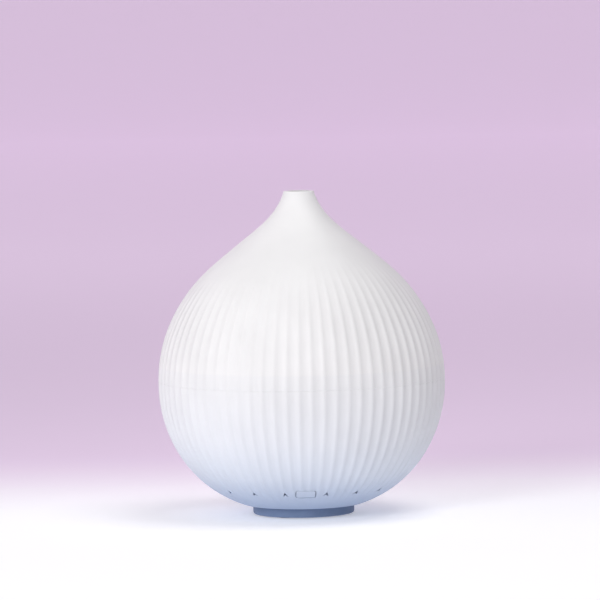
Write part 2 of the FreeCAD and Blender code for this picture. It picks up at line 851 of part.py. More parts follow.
def make_clamp_screws():
    pattern = screw(clamp_screw_radius, clamp_screw_head, clamp_thickness + clamp_screw_grip)
    return [moved(pattern, p.x, p.y, clamp_bottom) for p in (at(ear_circle, a, 0) for a in ear_angles)]


# ---- fan
def fan_screw_spots():
    half = fan_size / 2 - fan_screw_inset
    return [(-fan_centre + x, y) for x in (-half, half) for y in (-half, half)]


def make_fan_housing():
    frame = moved(rounded_plate(fan_size, fan_size, fan_corner, fan_bottom, fan_top), -fan_centre, 0, 0)
    cutters = [rod(fan_bore, fan_bottom - through, fan_top + through, -fan_centre)]
    cutters += [rod(fan_screw_radius + hole_gap, fan_bottom - through, fan_top + through, x, y)
                for x, y in fan_screw_spots()]
    frame = frame.cut(cutters)
    hub = rod(fan_hub_radius, fan_bottom, fan_bottom + fan_spoke_thickness, -fan_centre)
    spoke = block(fan_hub_radius - bite, fan_bore + bite, -fan_spoke_half_width, fan_spoke_half_width,
                  fan_bottom, fan_bottom + fan_spoke_thickness)
    spokes = []
    for angle in fan_spoke_angles:
        arm = spoke.copy()
        arm.rotate(Vector(0, 0, 0), up, angle)
        spokes.append(moved(arm, -fan_centre, 0, 0))
    axle = rod(fan_axle_radius, fan_bottom, fan_bottom + fan_axle_length, -fan_centre)
    return frame.fuse([hub, axle] + spokes)


def make_fan_rotor():
    low = fan_bottom + fan_spoke_thickness + rotor_end_gap
    high = fan_top - rotor_end_gap
    hub = rod(fan_hub_radius, low, high)
    rim = [e for e in hub.Edges if e.BoundBox.ZMin > high - touch]
    hub = hub.makeFillet(rotor_edge_radius, rim)
    reach = fan_bore - fan_blade_gap
    half_chord = (high - low) / math.cos(math.radians(fan_blade_pitch)) / 2
    half_blade = fan_blade_thickness / 2
    blade = block(fan_hub_radius - 2 * bite, reach + through, -half_blade, half_blade,
                  -half_chord, half_chord)
    blade.rotate(Vector(0, 0, 0), Vector(1, 0, 0), fan_blade_pitch)
    blade = moved(blade, 0, 0, (low + high) / 2)
    sweep = ring(reach, fan_hub_radius - bite, low + rotor_edge_radius, high - rotor_edge_radius)
    blade = blade.common(sweep)
    blades = []
    for i in range(fan_blades):
        copy = blade.copy()
        copy.rotate(Vector(0, 0, 0), up, i * 360 / fan_blades)
        blades.append(copy)
    well_top = fan_bottom + fan_axle_length + rotor_axle_gap
    well = rod(fan_axle_radius + rotor_axle_gap, low - through, well_top)
    return moved(hub.fuse(blades).cut(well), -fan_centre, 0, 0)


def make_fan_screws():
    pattern = screw(fan_screw_radius, fan_screw_head, fan_thickness + plenum_height)
    return [moved(pattern, x, y, fan_bottom) for x, y in fan_screw_spots()]


# ---- light board
def make_led_board():
    start, middle, end = -led_half_angle, 0, led_half_angle
    outer = [at(led_outer_radius, a, led_board_bottom) for a in (start, middle, end)]
    inner = [at(led_inner_radius, a, led_board_bottom) for a in (end, middle, start)]
    outline_wire = Part.Wire([
        Part.Arc(*outer).toShape(), Part.makeLine(outer[2], inner[0]),
        Part.Arc(*inner).toShape(), Part.makeLine(inner[2], outer[0]),
    ])
    board = Part.Face(outline_wire).extrude(Vector(0, 0, led_board_thickness))
    holes = []
    for angle in led_screw_angles:
        p = at(led_middle_radius, angle, 0)
        holes.append(rod(board_screw_radius + hole_gap, led_board_bottom - through, led_board_top + through,
                         p.x, p.y))
    return board.cut(holes)


def make_leds():
    span = led_screw_angle - led_screw_margin
    floor = led_board_top + led_thickness - led_window_depth
    chips = []
    for i in range(led_count):
        angle = -span + 2 * span * i / (led_count - 1)
        half = led_size / 2
        chip = block(-half, half, -half, half, led_board_top, led_board_top + led_thickness)
        chip = chip.cut(rod(led_window_radius, floor, floor + through))
        chip.rotate(Vector(0, 0, 0), up, angle)
        place = at(led_middle_radius, angle, 0)
        chips.append(moved(chip, place.x, place.y, 0))
    return chips


def make_led_screws():
    length = led_board_thickness + led_board_drop - led_screw_spare
    pattern = screw(board_screw_radius, board_screw_head, length)
    places = [at(led_middle_radius, a, 0) for a in led_screw_angles]
    return [moved(pattern, p.x, p.y, led_board_bottom) for p in places]


# ---- main board and what is on it
def make_main_board():
    board = rod(board_radius, board_bottom, board_top).common(
        block(-board_half_width, board_half_width, -board_front, board_radius, board_bottom, board_top))
    holes = [rod(board_screw_radius + hole_gap, board_bottom - through, board_top + through, x, y)
             for x, y in board_screw_places]
    for angle in post_angles:
        p = at(post_circle, angle, 0)
        holes.append(rod(post_radius + part_gap, board_bottom - through, board_top + through, p.x, p.y))
    return board.cut(holes)


def make_board_screws():
    length = board_thickness + board_rise - board_screw_spare
    pattern = upside_down(screw(board_screw_radius, board_screw_head, length))
    return [moved(pattern, x, y, board_top) for x, y in board_screw_places]


def make_inductor():
    x, y = inductor_place
    low, high = board_top, board_top + inductor_height
    flanges = [rod(inductor_radius, low, low + inductor_flange, x, y),
               rod(inductor_radius, high - inductor_flange, high, x, y)]
    return rod(inductor_core_radius, low, high, x, y).fuse(flanges)


def make_capacitors():
    cans = []
    groove_low = board_top + capacitor_groove_rise
    groove_high = groove_low + capacitor_groove_width
    for x, y, radius, height in capacitor_sizes:
        can = rod(radius, board_top, board_top + height, x, y)
        top_edge = [e for e in can.Edges if e.BoundBox.ZMin > board_top + height - touch]
        groove = ring(radius + through, radius - capacitor_groove_depth, groove_low, groove_high, x, y)
        cans.append(can.makeFillet(capacitor_edge_radius, top_edge).cut(groove))
    return cans


def make_driver_transistor():
    x, y = heat_sink_place
    face = y + heat_sink_depth
    low = board_top + transistor_lift
    high = low + transistor_height
    left, right = x - transistor_half_width, x + transistor_half_width
    body = block(left, right, face, face + transistor_thickness, low, high)
    tab = block(left, right, face, face + transistor_tab, high, high + transistor_tab_rise)
    leg_face = face + transistor_leg_face
    legs = []
    for side in transistor_leg_places:
        legs.append(block(x + side - transistor_leg_half_width, x + side + transistor_leg_half_width,
                          leg_face, leg_face + transistor_leg_thickness, board_top, low))
    return body.fuse([tab] + legs)


def make_heat_sink():
    x, y = heat_sink_place
    left = x - heat_sink_width / 2
    face = y + heat_sink_depth
    top = board_top + heat_sink_height
    back = block(left, left + heat_sink_width, face - heat_sink_back, face, board_top, top)
    pitch = (heat_sink_width - heat_sink_fin) / (heat_sink_fins - 1)
    starts = [left + i * pitch for i in range(heat_sink_fins)]
    fins = [block(start, start + heat_sink_fin, y, face - bite, board_top, top) for start in starts]
    return back.fuse(fins)


def make_control_chip():
    x, y = chip_low
    right = x + chip_width
    low = board_top + chip_lift
    body = block(x, right, y, y + chip_length, low, low + chip_height)
    pins = []
    for i in range(chip_pins):
        start = y + chip_pin_first + i * chip_pin_pitch
        end = start + chip_pin_width
        top = board_top + chip_pin_height
        pins.append(block(x - chip_pin_reach, x + chip_lift, start, end, board_top, top))
        pins.append(block(right - chip_lift, right + chip_pin_reach, start, end, board_top, top))
    return body.fuse(pins)


def make_board_passives():
    width, length, height = passive_size
    chips = []
    for row in range(passive_rows):
        for column in range(passive_columns):
            x = passives_corner[0] + column * passive_pitch[0]
            y = passives_corner[1] + row * passive_pitch[1]
            chips.append(block(x, x + width, y, y + length, board_top, board_top + height))
    return chips


def make_cable_sockets():
    inner_width = socket_half_width - socket_wall
    inner_depth = socket_half_depth - socket_wall
    top = board_top + socket_height
    sockets = []
    for x, y in (fan_socket, transducer_socket, led_socket, key_socket):
        outer = block(x - socket_half_width, x + socket_half_width, y - socket_half_depth,
                      y + socket_half_depth, board_top, top)
        inner = block(x - inner_width, x + inner_width, y - inner_depth, y + inner_depth,
                      wire_start, top + through)
        sockets.append(outer.cut(inner))
    return sockets


# ---- power inlet
def make_dc_jack():
    body = block(-jack_width / 2, jack_width / 2, jack_back - jack_length, jack_back,
                 board_top, board_top + jack_height)
    return body.cut(backward_rod(jack_bore, jack_back - jack_bore_depth, jack_back + through, 0, jack_axis))


def make_jack_pin():
    root = jack_back - jack_bore_depth
    return backward_rod(jack_pin_radius, root, jack_back - jack_pin_inset, 0, jack_axis)


# ---- key, switch and key board
def make_push_key():
    low, high = foot_height + key_curve_start, key_height + key_length + key_curve_margin
    under_wall = shell_wall + key_play
    face = rounded_plate(key_width, key_length, key_corner, -2 * shell_wall, 2 * shell_wall)
    plate = on_wall(-90, key_height, face).common(wall_layer(low, high, 0, under_wall + bite, 8))
    reach = key_gap + key_flange
    wide = rounded_plate(key_width + 2 * reach, key_length + 2 * reach, key_corner + key_gap,
                         -3 * shell_wall, shell_wall)
    flange = on_wall(-90, key_height, wide).common(
        wall_layer(low, high, under_wall, under_wall + key_flange_thickness, 8))
    stem = on_wall(-90, key_height, rod(stem_radius, -key_reach, -under_wall - key_flange_thickness / 2))
    return plate.fuse([flange, stem])


def make_switch_plunger():
    return on_wall(-90, key_height, rod(plunger_radius, -switch_face - plunger_buried, -key_reach))


def make_tact_switch():
    body = rounded_plate(switch_size, switch_size, switch_corner, -key_board_face, -switch_face)
    well_floor = -switch_face - plunger_buried - key_travel - switch_well_spare
    well = rod(plunger_radius + switch_well_gap, well_floor, -switch_face + through)
    return on_wall(-90, key_height, body.cut(well))


def make_key_board():
    low = -key_board_face - board_thickness
    board = rounded_plate(key_board_width, key_board_length, key_board_corner, low, -key_board_face)
    holes = [rod(key_screw_radius + hole_gap, low - through, 0, x)
             for x in (-key_post_spread, key_post_spread)]
    return on_wall(-90, key_height, board.cut(holes))


def make_key_screws():
    pattern = screw(key_screw_radius, key_screw_head, board_thickness + key_screw_grip)
    return [on_wall(-90, key_height, moved(pattern, x, 0, -key_board_face - board_thickness))
            for x in (-key_post_spread, key_post_spread)]


# ---- wires, each pair from its board socket to what it feeds
def wire_pair(points, side):
    offset = side * wire_spread
    return [wire([Vector(*p) + offset * sign for p in points], wire_radius) for sign in (-1, 1)]


def make_fan_leads():
    x, y = fan_socket
    fan_side = -fan_centre + fan_size / 2
    beside = fan_side + fan_lead_gap
    run = wire_start + fan_lead_run
    entry = fan_bottom + fan_lead_rise
    points = [(x, y, wire_start), (x, y, run), (beside, y, run), (beside, y, entry), (fan_side, y, entry)]
    return wire_pair(points, Vector(0, 1, 0))


def make_transducer_leads():
    x, y = transducer_socket
    under = clamp_bottom - transducer_lead_drop
    points = [(x, y, wire_start), (x, y, under - lead_slack),
              (*transducer_lead_end, under), (*transducer_lead_end, disc_bottom)]
    return wire_pair(points, Vector(0, 1, 0))


def make_led_leads():
    x, y = led_socket
    under = led_board_bottom - led_lead_drop
    points = [(x, y, wire_start), (x, y, under - lead_slack),
              (*led_lead_end, under), (*led_lead_end, led_board_bottom)]
    return wire_pair(points, Vector(0, 1, 0))


def make_key_leads():
    x, y = key_socket
    frame = wall_frame(-90, key_height)
    depth = key_board_face + board_thickness
    end = frame.multVec(Vector(x, 0, -depth))
    before = frame.multVec(Vector(x, 0, -depth - key_lead_gap))
    points = [(x, y, wire_start), (x, y, before.z), tuple(before), tuple(end)]
    return wire_pair(points, Vector(1, 0, 0))


os.makedirs("parts", exist_ok=True)

save("upper_cover", make_upper_cover())
save("inner_lid", make_inner_lid())
save("lower_shell", make_lower_shell())
save("foot", make_foot())
save("foot_pads", *make_foot_pads())
save("case_screws", *make_case_screws())
save("water_tank", make_water_tank())
save("tank_gasket", make_tank_gasket())
save("duct_hood", make_duct_hood())
save("transducer_seal", make_transducer_seal())
save("transducer_disc", make_transducer_disc())
save("transducer_clamp", make_transducer_clamp())
save("clamp_screws", *make_clamp_screws())
save("fan_housing", make_fan_housing())
save("fan_rotor", make_fan_rotor())
save("fan_screws", *make_fan_screws())
save("led_board", make_led_board())
save("leds", *make_leds())
save("led_screws", *make_led_screws())
save("main_board", make_main_board())
save("board_screws", *make_board_screws())
save("inductor", make_inductor())
save("capacitors", *make_capacitors())
save("driver_transistor", make_driver_transistor())
save("heat_sink", make_heat_sink())
save("control_chip", make_control_chip())
save("board_passives", *make_board_passives())
save("cable_sockets", *make_cable_sockets())
save("dc_jack", make_dc_jack())
save("jack_pin", make_jack_pin())
save("push_key", make_push_key())
save("switch_plunger", make_switch_plunger())
save("tact_switch", make_tact_switch())
save("key_board", make_key_board())
save("key_screws", *make_key_screws())
save("fan_leads", *make_fan_leads())
save("transducer_leads", *make_transducer_leads())
save("led_leads", *make_led_leads())
save("key_leads", *make_key_leads())
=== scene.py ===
import math

import bpy
import numpy as np
from bpy.props import FloatProperty, FloatVectorProperty, IntProperty, PointerProperty, StringProperty
from bpy.types import Operator, Panel, PropertyGroup
from mathutils import Matrix, Vector


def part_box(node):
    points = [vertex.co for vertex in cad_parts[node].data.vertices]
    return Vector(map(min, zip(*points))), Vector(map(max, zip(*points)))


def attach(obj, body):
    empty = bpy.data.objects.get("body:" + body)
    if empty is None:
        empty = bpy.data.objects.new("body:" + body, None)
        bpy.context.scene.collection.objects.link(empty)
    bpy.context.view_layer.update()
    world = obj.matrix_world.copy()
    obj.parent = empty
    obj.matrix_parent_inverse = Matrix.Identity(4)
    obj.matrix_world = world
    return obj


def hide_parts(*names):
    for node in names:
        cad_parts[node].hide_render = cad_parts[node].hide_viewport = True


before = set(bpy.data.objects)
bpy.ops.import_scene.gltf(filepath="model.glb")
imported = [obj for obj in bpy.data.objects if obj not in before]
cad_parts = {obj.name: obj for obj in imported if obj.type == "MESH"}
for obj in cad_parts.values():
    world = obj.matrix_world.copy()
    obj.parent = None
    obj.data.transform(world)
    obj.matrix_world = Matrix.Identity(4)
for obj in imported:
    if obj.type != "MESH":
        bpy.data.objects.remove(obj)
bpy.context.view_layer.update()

bl_info = {
    "name": "Fluted oil diffuser",
    "version": (1, 0, 0),
    "blender": (4, 5, 0),
    "location": "View3D > Sidebar > Diffuser",
    "description": "Builds an oil diffuser's visible pieces and finishes around its CAD frame",
    "category": "Object",
}

MM = 0.001

# Places that come from the frame.
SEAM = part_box("upper_cover")[0].z
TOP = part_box("upper_cover")[1].z
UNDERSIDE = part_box("lower_shell")[0].z
INSIDE_LOW = UNDERSIDE + 0.2 * MM     # where the curve of the inside starts
REACH = 30 * MM                       # of a cutter, past the outside of the body

# Outline of the body as shares of its rise and of its widening, below and above the seam.
OUTLINE_BELOW_SEAM = [(0.0, 0.0), (0.072, 0.248), (0.195, 0.505), (0.374, 0.734), (0.586, 0.896), (0.8, 0.98)]
OUTLINE_ABOVE_SEAM = [(0.0, 1.0), (0.193, 0.961), (0.376, 0.848), (0.539, 0.671), (0.661, 0.471),
                      (0.762, 0.285), (0.8435, 0.1445), (0.925, 0.048), (1.0, 0.0)]

# Places across one flute, as shares of the pitch from one crest to the next; closest together on the crest.
FLUTE_SHARES = [0, 0.035, 0.07, 0.105, 0.15, 0.22, 0.31, 0.4, 0.5, 0.6, 0.69, 0.78, 0.85, 0.895, 0.93, 0.965]
FLUTE_SOFTNESS = 0.01                 # how gently a flute runs out on to its crest

# The push key's face in rings from its middle, then its edge as (inset, drop) in millimetres.
KEY_FACE_RINGS = (0.35, 0.7, 0.9)
KEY_EDGE = ((0.35, 0.0), (0.15, 0.05), (0.04, 0.16), (0.0, 0.35))

# Fineness of the meshes: rows along a curve, segments round a circle, and the angle of a sharp edge.
CURVE_SAMPLES = 1600
COVER_ROWS, COVER_INNER_ROWS = 120, 40
SHELL_ROWS, SHELL_INNER_ROWS = 96, 60
TRIM_ROWS, TRIM_SEGMENTS = 40, 360
DOME_ROWS = 40
TURNED_SEGMENTS = 256
LARGE_CIRCLE, CIRCLE, BOSS_CIRCLE, SMALL_CIRCLE = 96, 64, 48, 32
SHARP_ANGLE, FLUTE_SHARP_ANGLE = 40, 45
MOST_TRIM = 0.48                      # of an edge that a rounded corner may take
TINY = 1e-9

# Values of a noise between which a finish goes from dull to clear.
PATCH_LOW, PATCH_HIGH = 0.3, 0.7

# Each studio light: name, place, aim, size in metres, and power in watts.
STUDIO_LIGHTS = [
    ("key_softbox", (-0.82, -1.55, 0.7), (0, 0, 0.1), (0.6, 0.6), 11.9),
    ("top_softbox", (0.45, -0.2, 1.5), (0, 0, 0.1), (0.9, 0.9), 10.4),
    ("left_softbox", (-1.6, -0.4, 0.6), (0, 0, 0.1), (0.9, 0.9), 2.8),
]


# ---------------- settings

def mm(name, description, value):
    """A length, from its value in millimetres."""
    return FloatProperty(name=name, description=description, default=value * MM, unit="LENGTH")


def degrees(name, description, value):
    return FloatProperty(name=name, description=description, default=math.radians(value), subtype="ANGLE",
                         unit="ROTATION")


def plain(name, description, value):
    return FloatProperty(name=name, description=description, default=value)


def srgb(name, description, value):
    return StringProperty(name=name, description=description, default=value)


class DiffuserBodySettings(PropertyGroup):
    radius: mm("Body radius", "Greatest radius, at the seam", 75)
    bottom_radius: mm("Bottom radius", "Radius at the foot", 30.6)
    nozzle_radius: mm("Nozzle radius", "Outer radius of the nozzle's end", 7.9)
    wall: mm("Wall", "Thickness of both shells at the crests", 2.4)
    flute_count: IntProperty(name="Flutes", description="Number round the body", default=72)
    flute_depth: mm("Flute depth", "Depth of a flute at the seam", 0.6)
    crest_width: mm("Crest width", "Land between two flutes, at the seam", 1.1)
    flute_foot_start: mm("Flutes start", "Where they start, over the underside", 2.5)
    flute_foot_full: mm("Flutes full", "Where they are full, over the underside", 11.5)
    flute_fade_start: mm("Fade start", "Where flutes start to fade, over the seam", 27)
    flute_fade_end: mm("Fade end", "Where they are gone, over the seam", 68)
    seam_round: mm("Seam rounding", "Edge radius at the seam", 0.16)
    nozzle_round: mm("Nozzle rounding", "Edge radius of its end", 0.6)


class DiffuserShellSettings(PropertyGroup):
    detail_rise: mm("Detail height", "Key and vents, over the underside", 9.5)
    floor_hole: mm("Floor hole", "Radius of the hole over the foot", 8)
    vent_width: mm("Vent width", "Width of an intake vent", 3.2)
    vent_height: mm("Vent height", "Its height, along the wall", 4.2)
    vent_notch: mm("Vent notch", "Height in its lower edge", 1.4)
    vent_step: IntProperty(name="Vent step", description="Flutes from one vent to the next", default=4)
    vent_first: plain("First vent", "Flutes from the front to the first vent", 2.5)
    ledge_width: mm("Ledge width", "Reach under the tank's collar", 2.4)
    ledge_lip: mm("Ledge lip", "Height of its upright edge", 1.5)
    ledge_depth: mm("Ledge depth", "Its height at the wall", 4.7)
    standoff_radius: mm("Standoff radius", "Under the main board", 2.6)
    screw_head: mm("Screw head", "Head radius of a board screw", 2.2)
    post_radius: mm("Key post radius", "Behind the key's board", 1.7)
    post_spread: mm("Key post spread", "From the middle to a post", 8.4)
    post_length: mm("Key post length", "From the outside to the key's board", 9.5)
    recess_radius: mm("Recess radius", "Round the power inlet", 6)
    recess_wall: mm("Recess wall", "Thickness of the cup round it", 2.3)
    recess_rise: mm("Recess floor", "From the inlet's back to its floor", 2.7)
    bore_radius: mm("Bore radius", "Radius of the hole for the plug", 3.35)
    bore_depth: mm("Bore depth", "Its depth under the recess", 4)


class DiffuserKeySettings(PropertyGroup):
    width: mm("Key width", "Width of the push key", 10)
    height: mm("Key height", "Length of the push key along the wall", 6.5)
    corner: mm("Key corner", "Corner radius of the push key", 1.3)
    gap: mm("Key gap", "Gap round the push key", 0.35)
    play: mm("Key play", "From the inside of the wall to the flange", 0.2)
    flange_width: mm("Flange width", "Reach past the key", 1.45)
    flange_corner: mm("Flange corner", "Corner radius past the key's own", 0.4)
    flange_thickness: mm("Flange thickness", "Thickness of the flange", 1)
    stem_radius: mm("Stem radius", "Radius of the stem on the switch", 1.5)
    stem_length: mm("Stem length", "Length of that stem", 1.4)
    round_across: mm("Round across", "Radius of the face across the key", 82)
    round_along: mm("Round along", "Radius of the face along the wall", 68)


class DiffuserFootSettings(PropertyGroup):
    wall: mm("Foot wall", "Thickness of its ring", 3)
    floor: mm("Foot floor", "Thickness of its floor", 2)
    edge_round: mm("Foot edge", "Edge radius at the table", 1.3)
    rim_round: mm("Foot rim", "Outer edge radius under the body", 0.25)
    rim_round_inside: mm("Foot rim inside", "Inner edge radius under the body", 0.2)
    corner_round: mm("Foot corner", "Corner radius inside the foot", 0.3)
    boss_radius: mm("Boss radius", "Radius of a boss over a pad", 5.5)
    boss_sink: mm("Boss sink", "Its start, over the underside", 1)
    pad_radius: mm("Pad radius", "Radius of a pad", 4)
    pad_play: mm("Pad play", "Gap round a pad", 0.1)


class DiffuserLidSettings(PropertyGroup):
    wall: mm("Lid wall", "Thickness of the inner lid", 1.8)
    edge_round: mm("Lid edge", "Of the flange and the chimney's end", 0.5)
    skirt_round: mm("Skirt edge", "Edge radius at the skirt's end", 0.4)
    corner_round: mm("Skirt corner", "Between skirt and flange", 0.1)
    chimney_round: mm("Chimney corner", "Between dome and chimney", 2)
    flange_width: mm("Lid flange", "Width outside the skirt", 2.2)
    skirt_drop: mm("Lid skirt", "Height under the flange", 4)
    dome_rise: mm("Dome rise", "From the flange to the chimney", 26)
    dome_share: plain("Dome fullness", "Share of the rise half-way in", 0.72)
    dome_slant: plain("Dome slant", "Its upright thickness there, over the wall's", 1.15)
    chimney_foot: mm("Chimney foot", "Outer radius at its foot", 14)
    chimney_top: mm("Chimney top", "Outer radius at its top", 9.5)


class DiffuserColourSettings(PropertyGroup):
    shell: srgb("Shell", "The moulded shells", "#F4F3F3")
    shell_dull: srgb("Shell, dull patches", "Their duller patches", "#EFEEEE")
    # Painted shade: these two darken the shell to blue-grey towards the foot.
    painted_shade_foot: srgb("Shell at the foot", "Tint of the shell's lower end", "#B2C6E4")
    painted_shade_above_foot: srgb("Shell near the foot", "Tint a little above that end", "#BECDE6")
    foot: srgb("Foot", "The foot", "#7588A9")
    foot_dull: srgb("Foot, dull patches", "Its duller patches", "#6D80A0")
    floor: srgb("Floor", "The floor", "#E6E6E9")
    backdrop: srgb("Backdrop", "The backdrop", "#E6D2E9")
    room_left: srgb("Room, left", "The pale side of the room", "#F4F2F6")
    room_right: srgb("Room, right", "The dark side of the room", "#6B6970")


class DiffuserStageSettings(PropertyGroup):
    camera_distance: mm("Camera distance", "From the camera to what it aims at", 3000)
    seen_width: mm("Seen width", "Width of the view at that distance", 313.8)
    azimuth: degrees("Camera azimuth", "Turn round the object", -1.4)
    elevation: degrees("Camera elevation", "Rise over the horizon", 4.3)
    roll: degrees("Camera roll", "Tilt about its axis", 0.94)
    aim: FloatVectorProperty(name="Camera aim", description="Place that the camera aims at",
                             default=(-0.2 * MM, 0, 112.2 * MM), subtype="TRANSLATION", unit="LENGTH")
    floor_front: mm("Floor in front", "Its length in front of the object", 7000)
    floor_behind: mm("Floor behind", "Its length up to the bend", 4200)
    bend: mm("Bend", "Radius between floor and backdrop", 1000)
    backdrop_height: mm("Backdrop height", "Height of the backdrop", 5000)
    half_width: mm("Half width", "Half the width of floor and backdrop", 7000)
    fade: mm("Fade", "Length over which the floor turns lilac", 340)
    far: mm("Far end", "Place where the far glow is full", 2200)
    glow_near: plain("Glow near", "Glow of the floor at the object", 0.42)
    glow_middle: plain("Glow behind", "Glow where the fade ends", 0.2)
    glow_far: plain("Glow far", "What the far end adds to that", 0.25)
    room_light: plain("Room light", "Strength of its light", 0.4)


def settings(group):
    """One group of the scene's settings."""
    return getattr(bpy.context.scene, "diffuser_" + group)


# ---------------- outline of the body

def cubic_through(points, samples):
    """Points of a smooth cubic curve through the given ones, with its tangents, by chord length."""
    points = np.array(points)
    chords = np.linalg.norm(np.diff(points, axis=0), axis=1)
    knots = np.concatenate([[0], np.cumsum(chords)])
    slopes = np.diff(points, axis=0) / chords[:, None]
    count = len(points)
    system = np.zeros((count, count))
    right = np.zeros_like(points)
    system[0, 0] = system[-1, -1] = 1
    for end, chosen in ((0, slice(0, 4)), (-1, slice(-4, None))):
        fit = np.polyfit(knots[chosen] - knots[end], points[chosen], 3)
        right[end] = fit[2]
    for i in range(1, count - 1):
        system[i, i - 1:i + 2] = chords[i], 2 * (chords[i - 1] + chords[i]), chords[i - 1]
        right[i] = 3 * (chords[i] * slopes[i - 1] + chords[i - 1] * slopes[i])
    tangents = np.linalg.solve(system, right)
    places, ways = [], []
    for at in np.linspace(0, knots[-1], samples):
        i = min(int(np.searchsorted(knots, at, side="right")) - 1, count - 2)
        h, u = chords[i], (at - knots[i]) / chords[i]
        places.append(points[i] * (2 * u**3 - 3 * u**2 + 1) + tangents[i] * h * (u**3 - 2 * u**2 + u)
                      + points[i + 1] * (3 * u**2 - 2 * u**3) + tangents[i + 1] * h * (u**3 - u**2))
        ways.append(points[i] * (6 * u**2 - 6 * u) / h + tangents[i] * (3 * u**2 - 4 * u + 1)
                    + points[i + 1] * (6 * u - 6 * u**2) / h + tangents[i + 1] * (3 * u**2 - 2 * u))
    ways = np.array(ways)
    return np.array(places), ways / np.linalg.norm(ways, axis=1)[:, None]


class Outline:
    """The body's outline at the crests: radius, place and inset place at any height."""

    def __init__(self, body):
        below = [(body.bottom_radius + wide * (body.radius - body.bottom_radius),
                  UNDERSIDE + rise * (SEAM - UNDERSIDE)) for rise, wide in OUTLINE_BELOW_SEAM]
        above = [(body.nozzle_radius + wide * (body.radius - body.nozzle_radius),
                  SEAM + rise * (TOP - SEAM)) for rise, wide in OUTLINE_ABOVE_SEAM]
        self.places, self.ways = cubic_through(below + above, CURVE_SAMPLES)
        self.body = body

    def point(self, height, inset=0.0):
        """Radius and height of a place at a height, moved square to the curve by the inset."""
        z = self.places[:, 1]
        radius = np.interp(height, z, self.places[:, 0])
        way_r, way_z = np.interp(height, z, self.ways[:, 0]), np.interp(height, z, self.ways[:, 1])
        size = math.hypot(way_r, way_z)
        return radius - way_z / size * inset, height + way_r / size * inset

    def inner_wall(self, low, high, count):
        """Rows of the inside of the wall, from the top down."""
        places = (self.point(height, self.body.wall) for height in self.heights(low, high, count)[::-1])
        return [(radius, level, 0.0) for radius, level in places]

    def outer_wall(self, low, high, count):
        """Rows of the fluted outside of the wall, from the bottom up."""
        return [(self.point(height)[0], height, self.flute_depth(height))
                for height in self.heights(low, high, count)]

    def heights(self, low, high, count):
        """Heights between two others, evenly spaced along the curve."""
        z = self.places[:, 1]
        steps = np.concatenate([[0], np.cumsum(np.linalg.norm(np.diff(self.places, axis=0), axis=1))])
        first, last = np.interp([low, high], z, steps)
        return [float(np.interp(s, steps, z)) for s in np.linspace(first, last, count)]

    def flute_depth(self, height):
        """Depth of a flute at a height, which eases out towards the neck and towards the foot."""
        body = self.body
        if height > SEAM:
            start, full, at = body.flute_fade_end, body.flute_fade_start, height - SEAM
        else:
            start, full, at = body.flute_foot_start, body.flute_foot_full, height - UNDERSIDE
        share = (at - start) / (full - start)
        held = min(1.0, max(0.0, share))
        return body.flute_depth * held * held * (3 - 2 * held) * self.point(height)[0] / body.radius

    def frame(self, angle, height):
        """A frame on the outside of the body: +Z outwards, +Y up the slope and +X sideways."""
        radius = self.point(height)[0]
        inner = self.point(height, MM)
        normal_r, normal_z = (radius - inner[0]) / MM, (height - inner[1]) / MM
        turn = math.radians(angle)
        outward = Vector((math.cos(turn), math.sin(turn), 0))
        normal = outward * normal_r + Vector((0, 0, normal_z))
        slope = outward * -normal_z + Vector((0, 0, normal_r))
        side = slope.cross(normal)
        matrix = Matrix((side, slope, normal)).transposed().to_4x4()
        matrix.translation = outward * radius + Vector((0, 0, height))
        return matrix


# ---------------- mesh tools

def mesh_object(name, points, faces, sharp=SHARP_ANGLE):
    """A smooth-shaded object with sharp edges above an angle."""
    mesh = bpy.data.meshes.new(name)
    mesh.from_pydata([tuple(p) for p in points], [], faces)
    mesh.validate()
    mesh.shade_smooth()
    mesh.set_sharp_from_angle(angle=math.radians(sharp))
    piece = bpy.data.objects.new(name, mesh)
    bpy.context.scene.collection.objects.link(piece)
    return piece


def ring_faces(rows, columns):
    """Faces between rings of places, from the last ring back to the first."""
    faces = []
    for i in range(rows):
        first, second = i * columns, (i + 1) % rows * columns
        for j in range(columns):
            k = (j + 1) % columns
            faces.append((first + j, first + k, second + k, second + j))
    return faces


def turned_piece(name, profile, segments=TURNED_SEGMENTS):
    """A piece turned about Z from a closed profile of (radius, height); a radius of 0 becomes one point."""
    points, starts = [], []
    for radius, height in profile:
        starts.append(len(points))
        if radius < TINY:
            points.append((0, 0, height))
            continue
        for j in range(segments):
            turn = 2 * math.pi * j / segments
            points.append((radius * math.cos(turn), radius * math.sin(turn), height))
    faces = []
    count = len(profile)
    for i in range(count):
        a, b = starts[i], starts[(i + 1) % count]
        flat_a, flat_b = profile[i][0] < TINY, profile[(i + 1) % count][0] < TINY
        if flat_a and flat_b:
            continue
        for j in range(segments):
            k = (j + 1) % segments
            if flat_a:
                faces.append((a, b + k, b + j))
            elif flat_b:
                faces.append((a + j, a + k, b))
            else:
                faces.append((a + j, a + k, b + k, b + j))
    return mesh_object(name, points, faces)


def arc(start, corner, end, shares):
    """Places on the curve that leaves the start and meets the end in the direction of their corner."""
    return [start.lerp(corner, u).lerp(corner.lerp(end, u), u) for u in shares]


def rounded(profile, steps=5):
    """A profile of (radius, height, corner radius) with each corner turned into an arc."""
    out = []
    count = len(profile)
    for i, (r, z, corner) in enumerate(profile):
        here = Vector((r, z))
        before = Vector(profile[i - 1][:2]) - here
        after = Vector(profile[(i + 1) % count][:2]) - here
        if corner <= 0:
            out.append((r, z))
            continue
        half = before.angle(after) / 2
        trim = min(corner / math.tan(half), before.length * MOST_TRIM, after.length * MOST_TRIM)
        start, end = here + before.normalized() * trim, here + after.normalized() * trim
        out += [tuple(place) for place in arc(start, here, end, [k / steps for k in range(steps + 1)])]
    return out


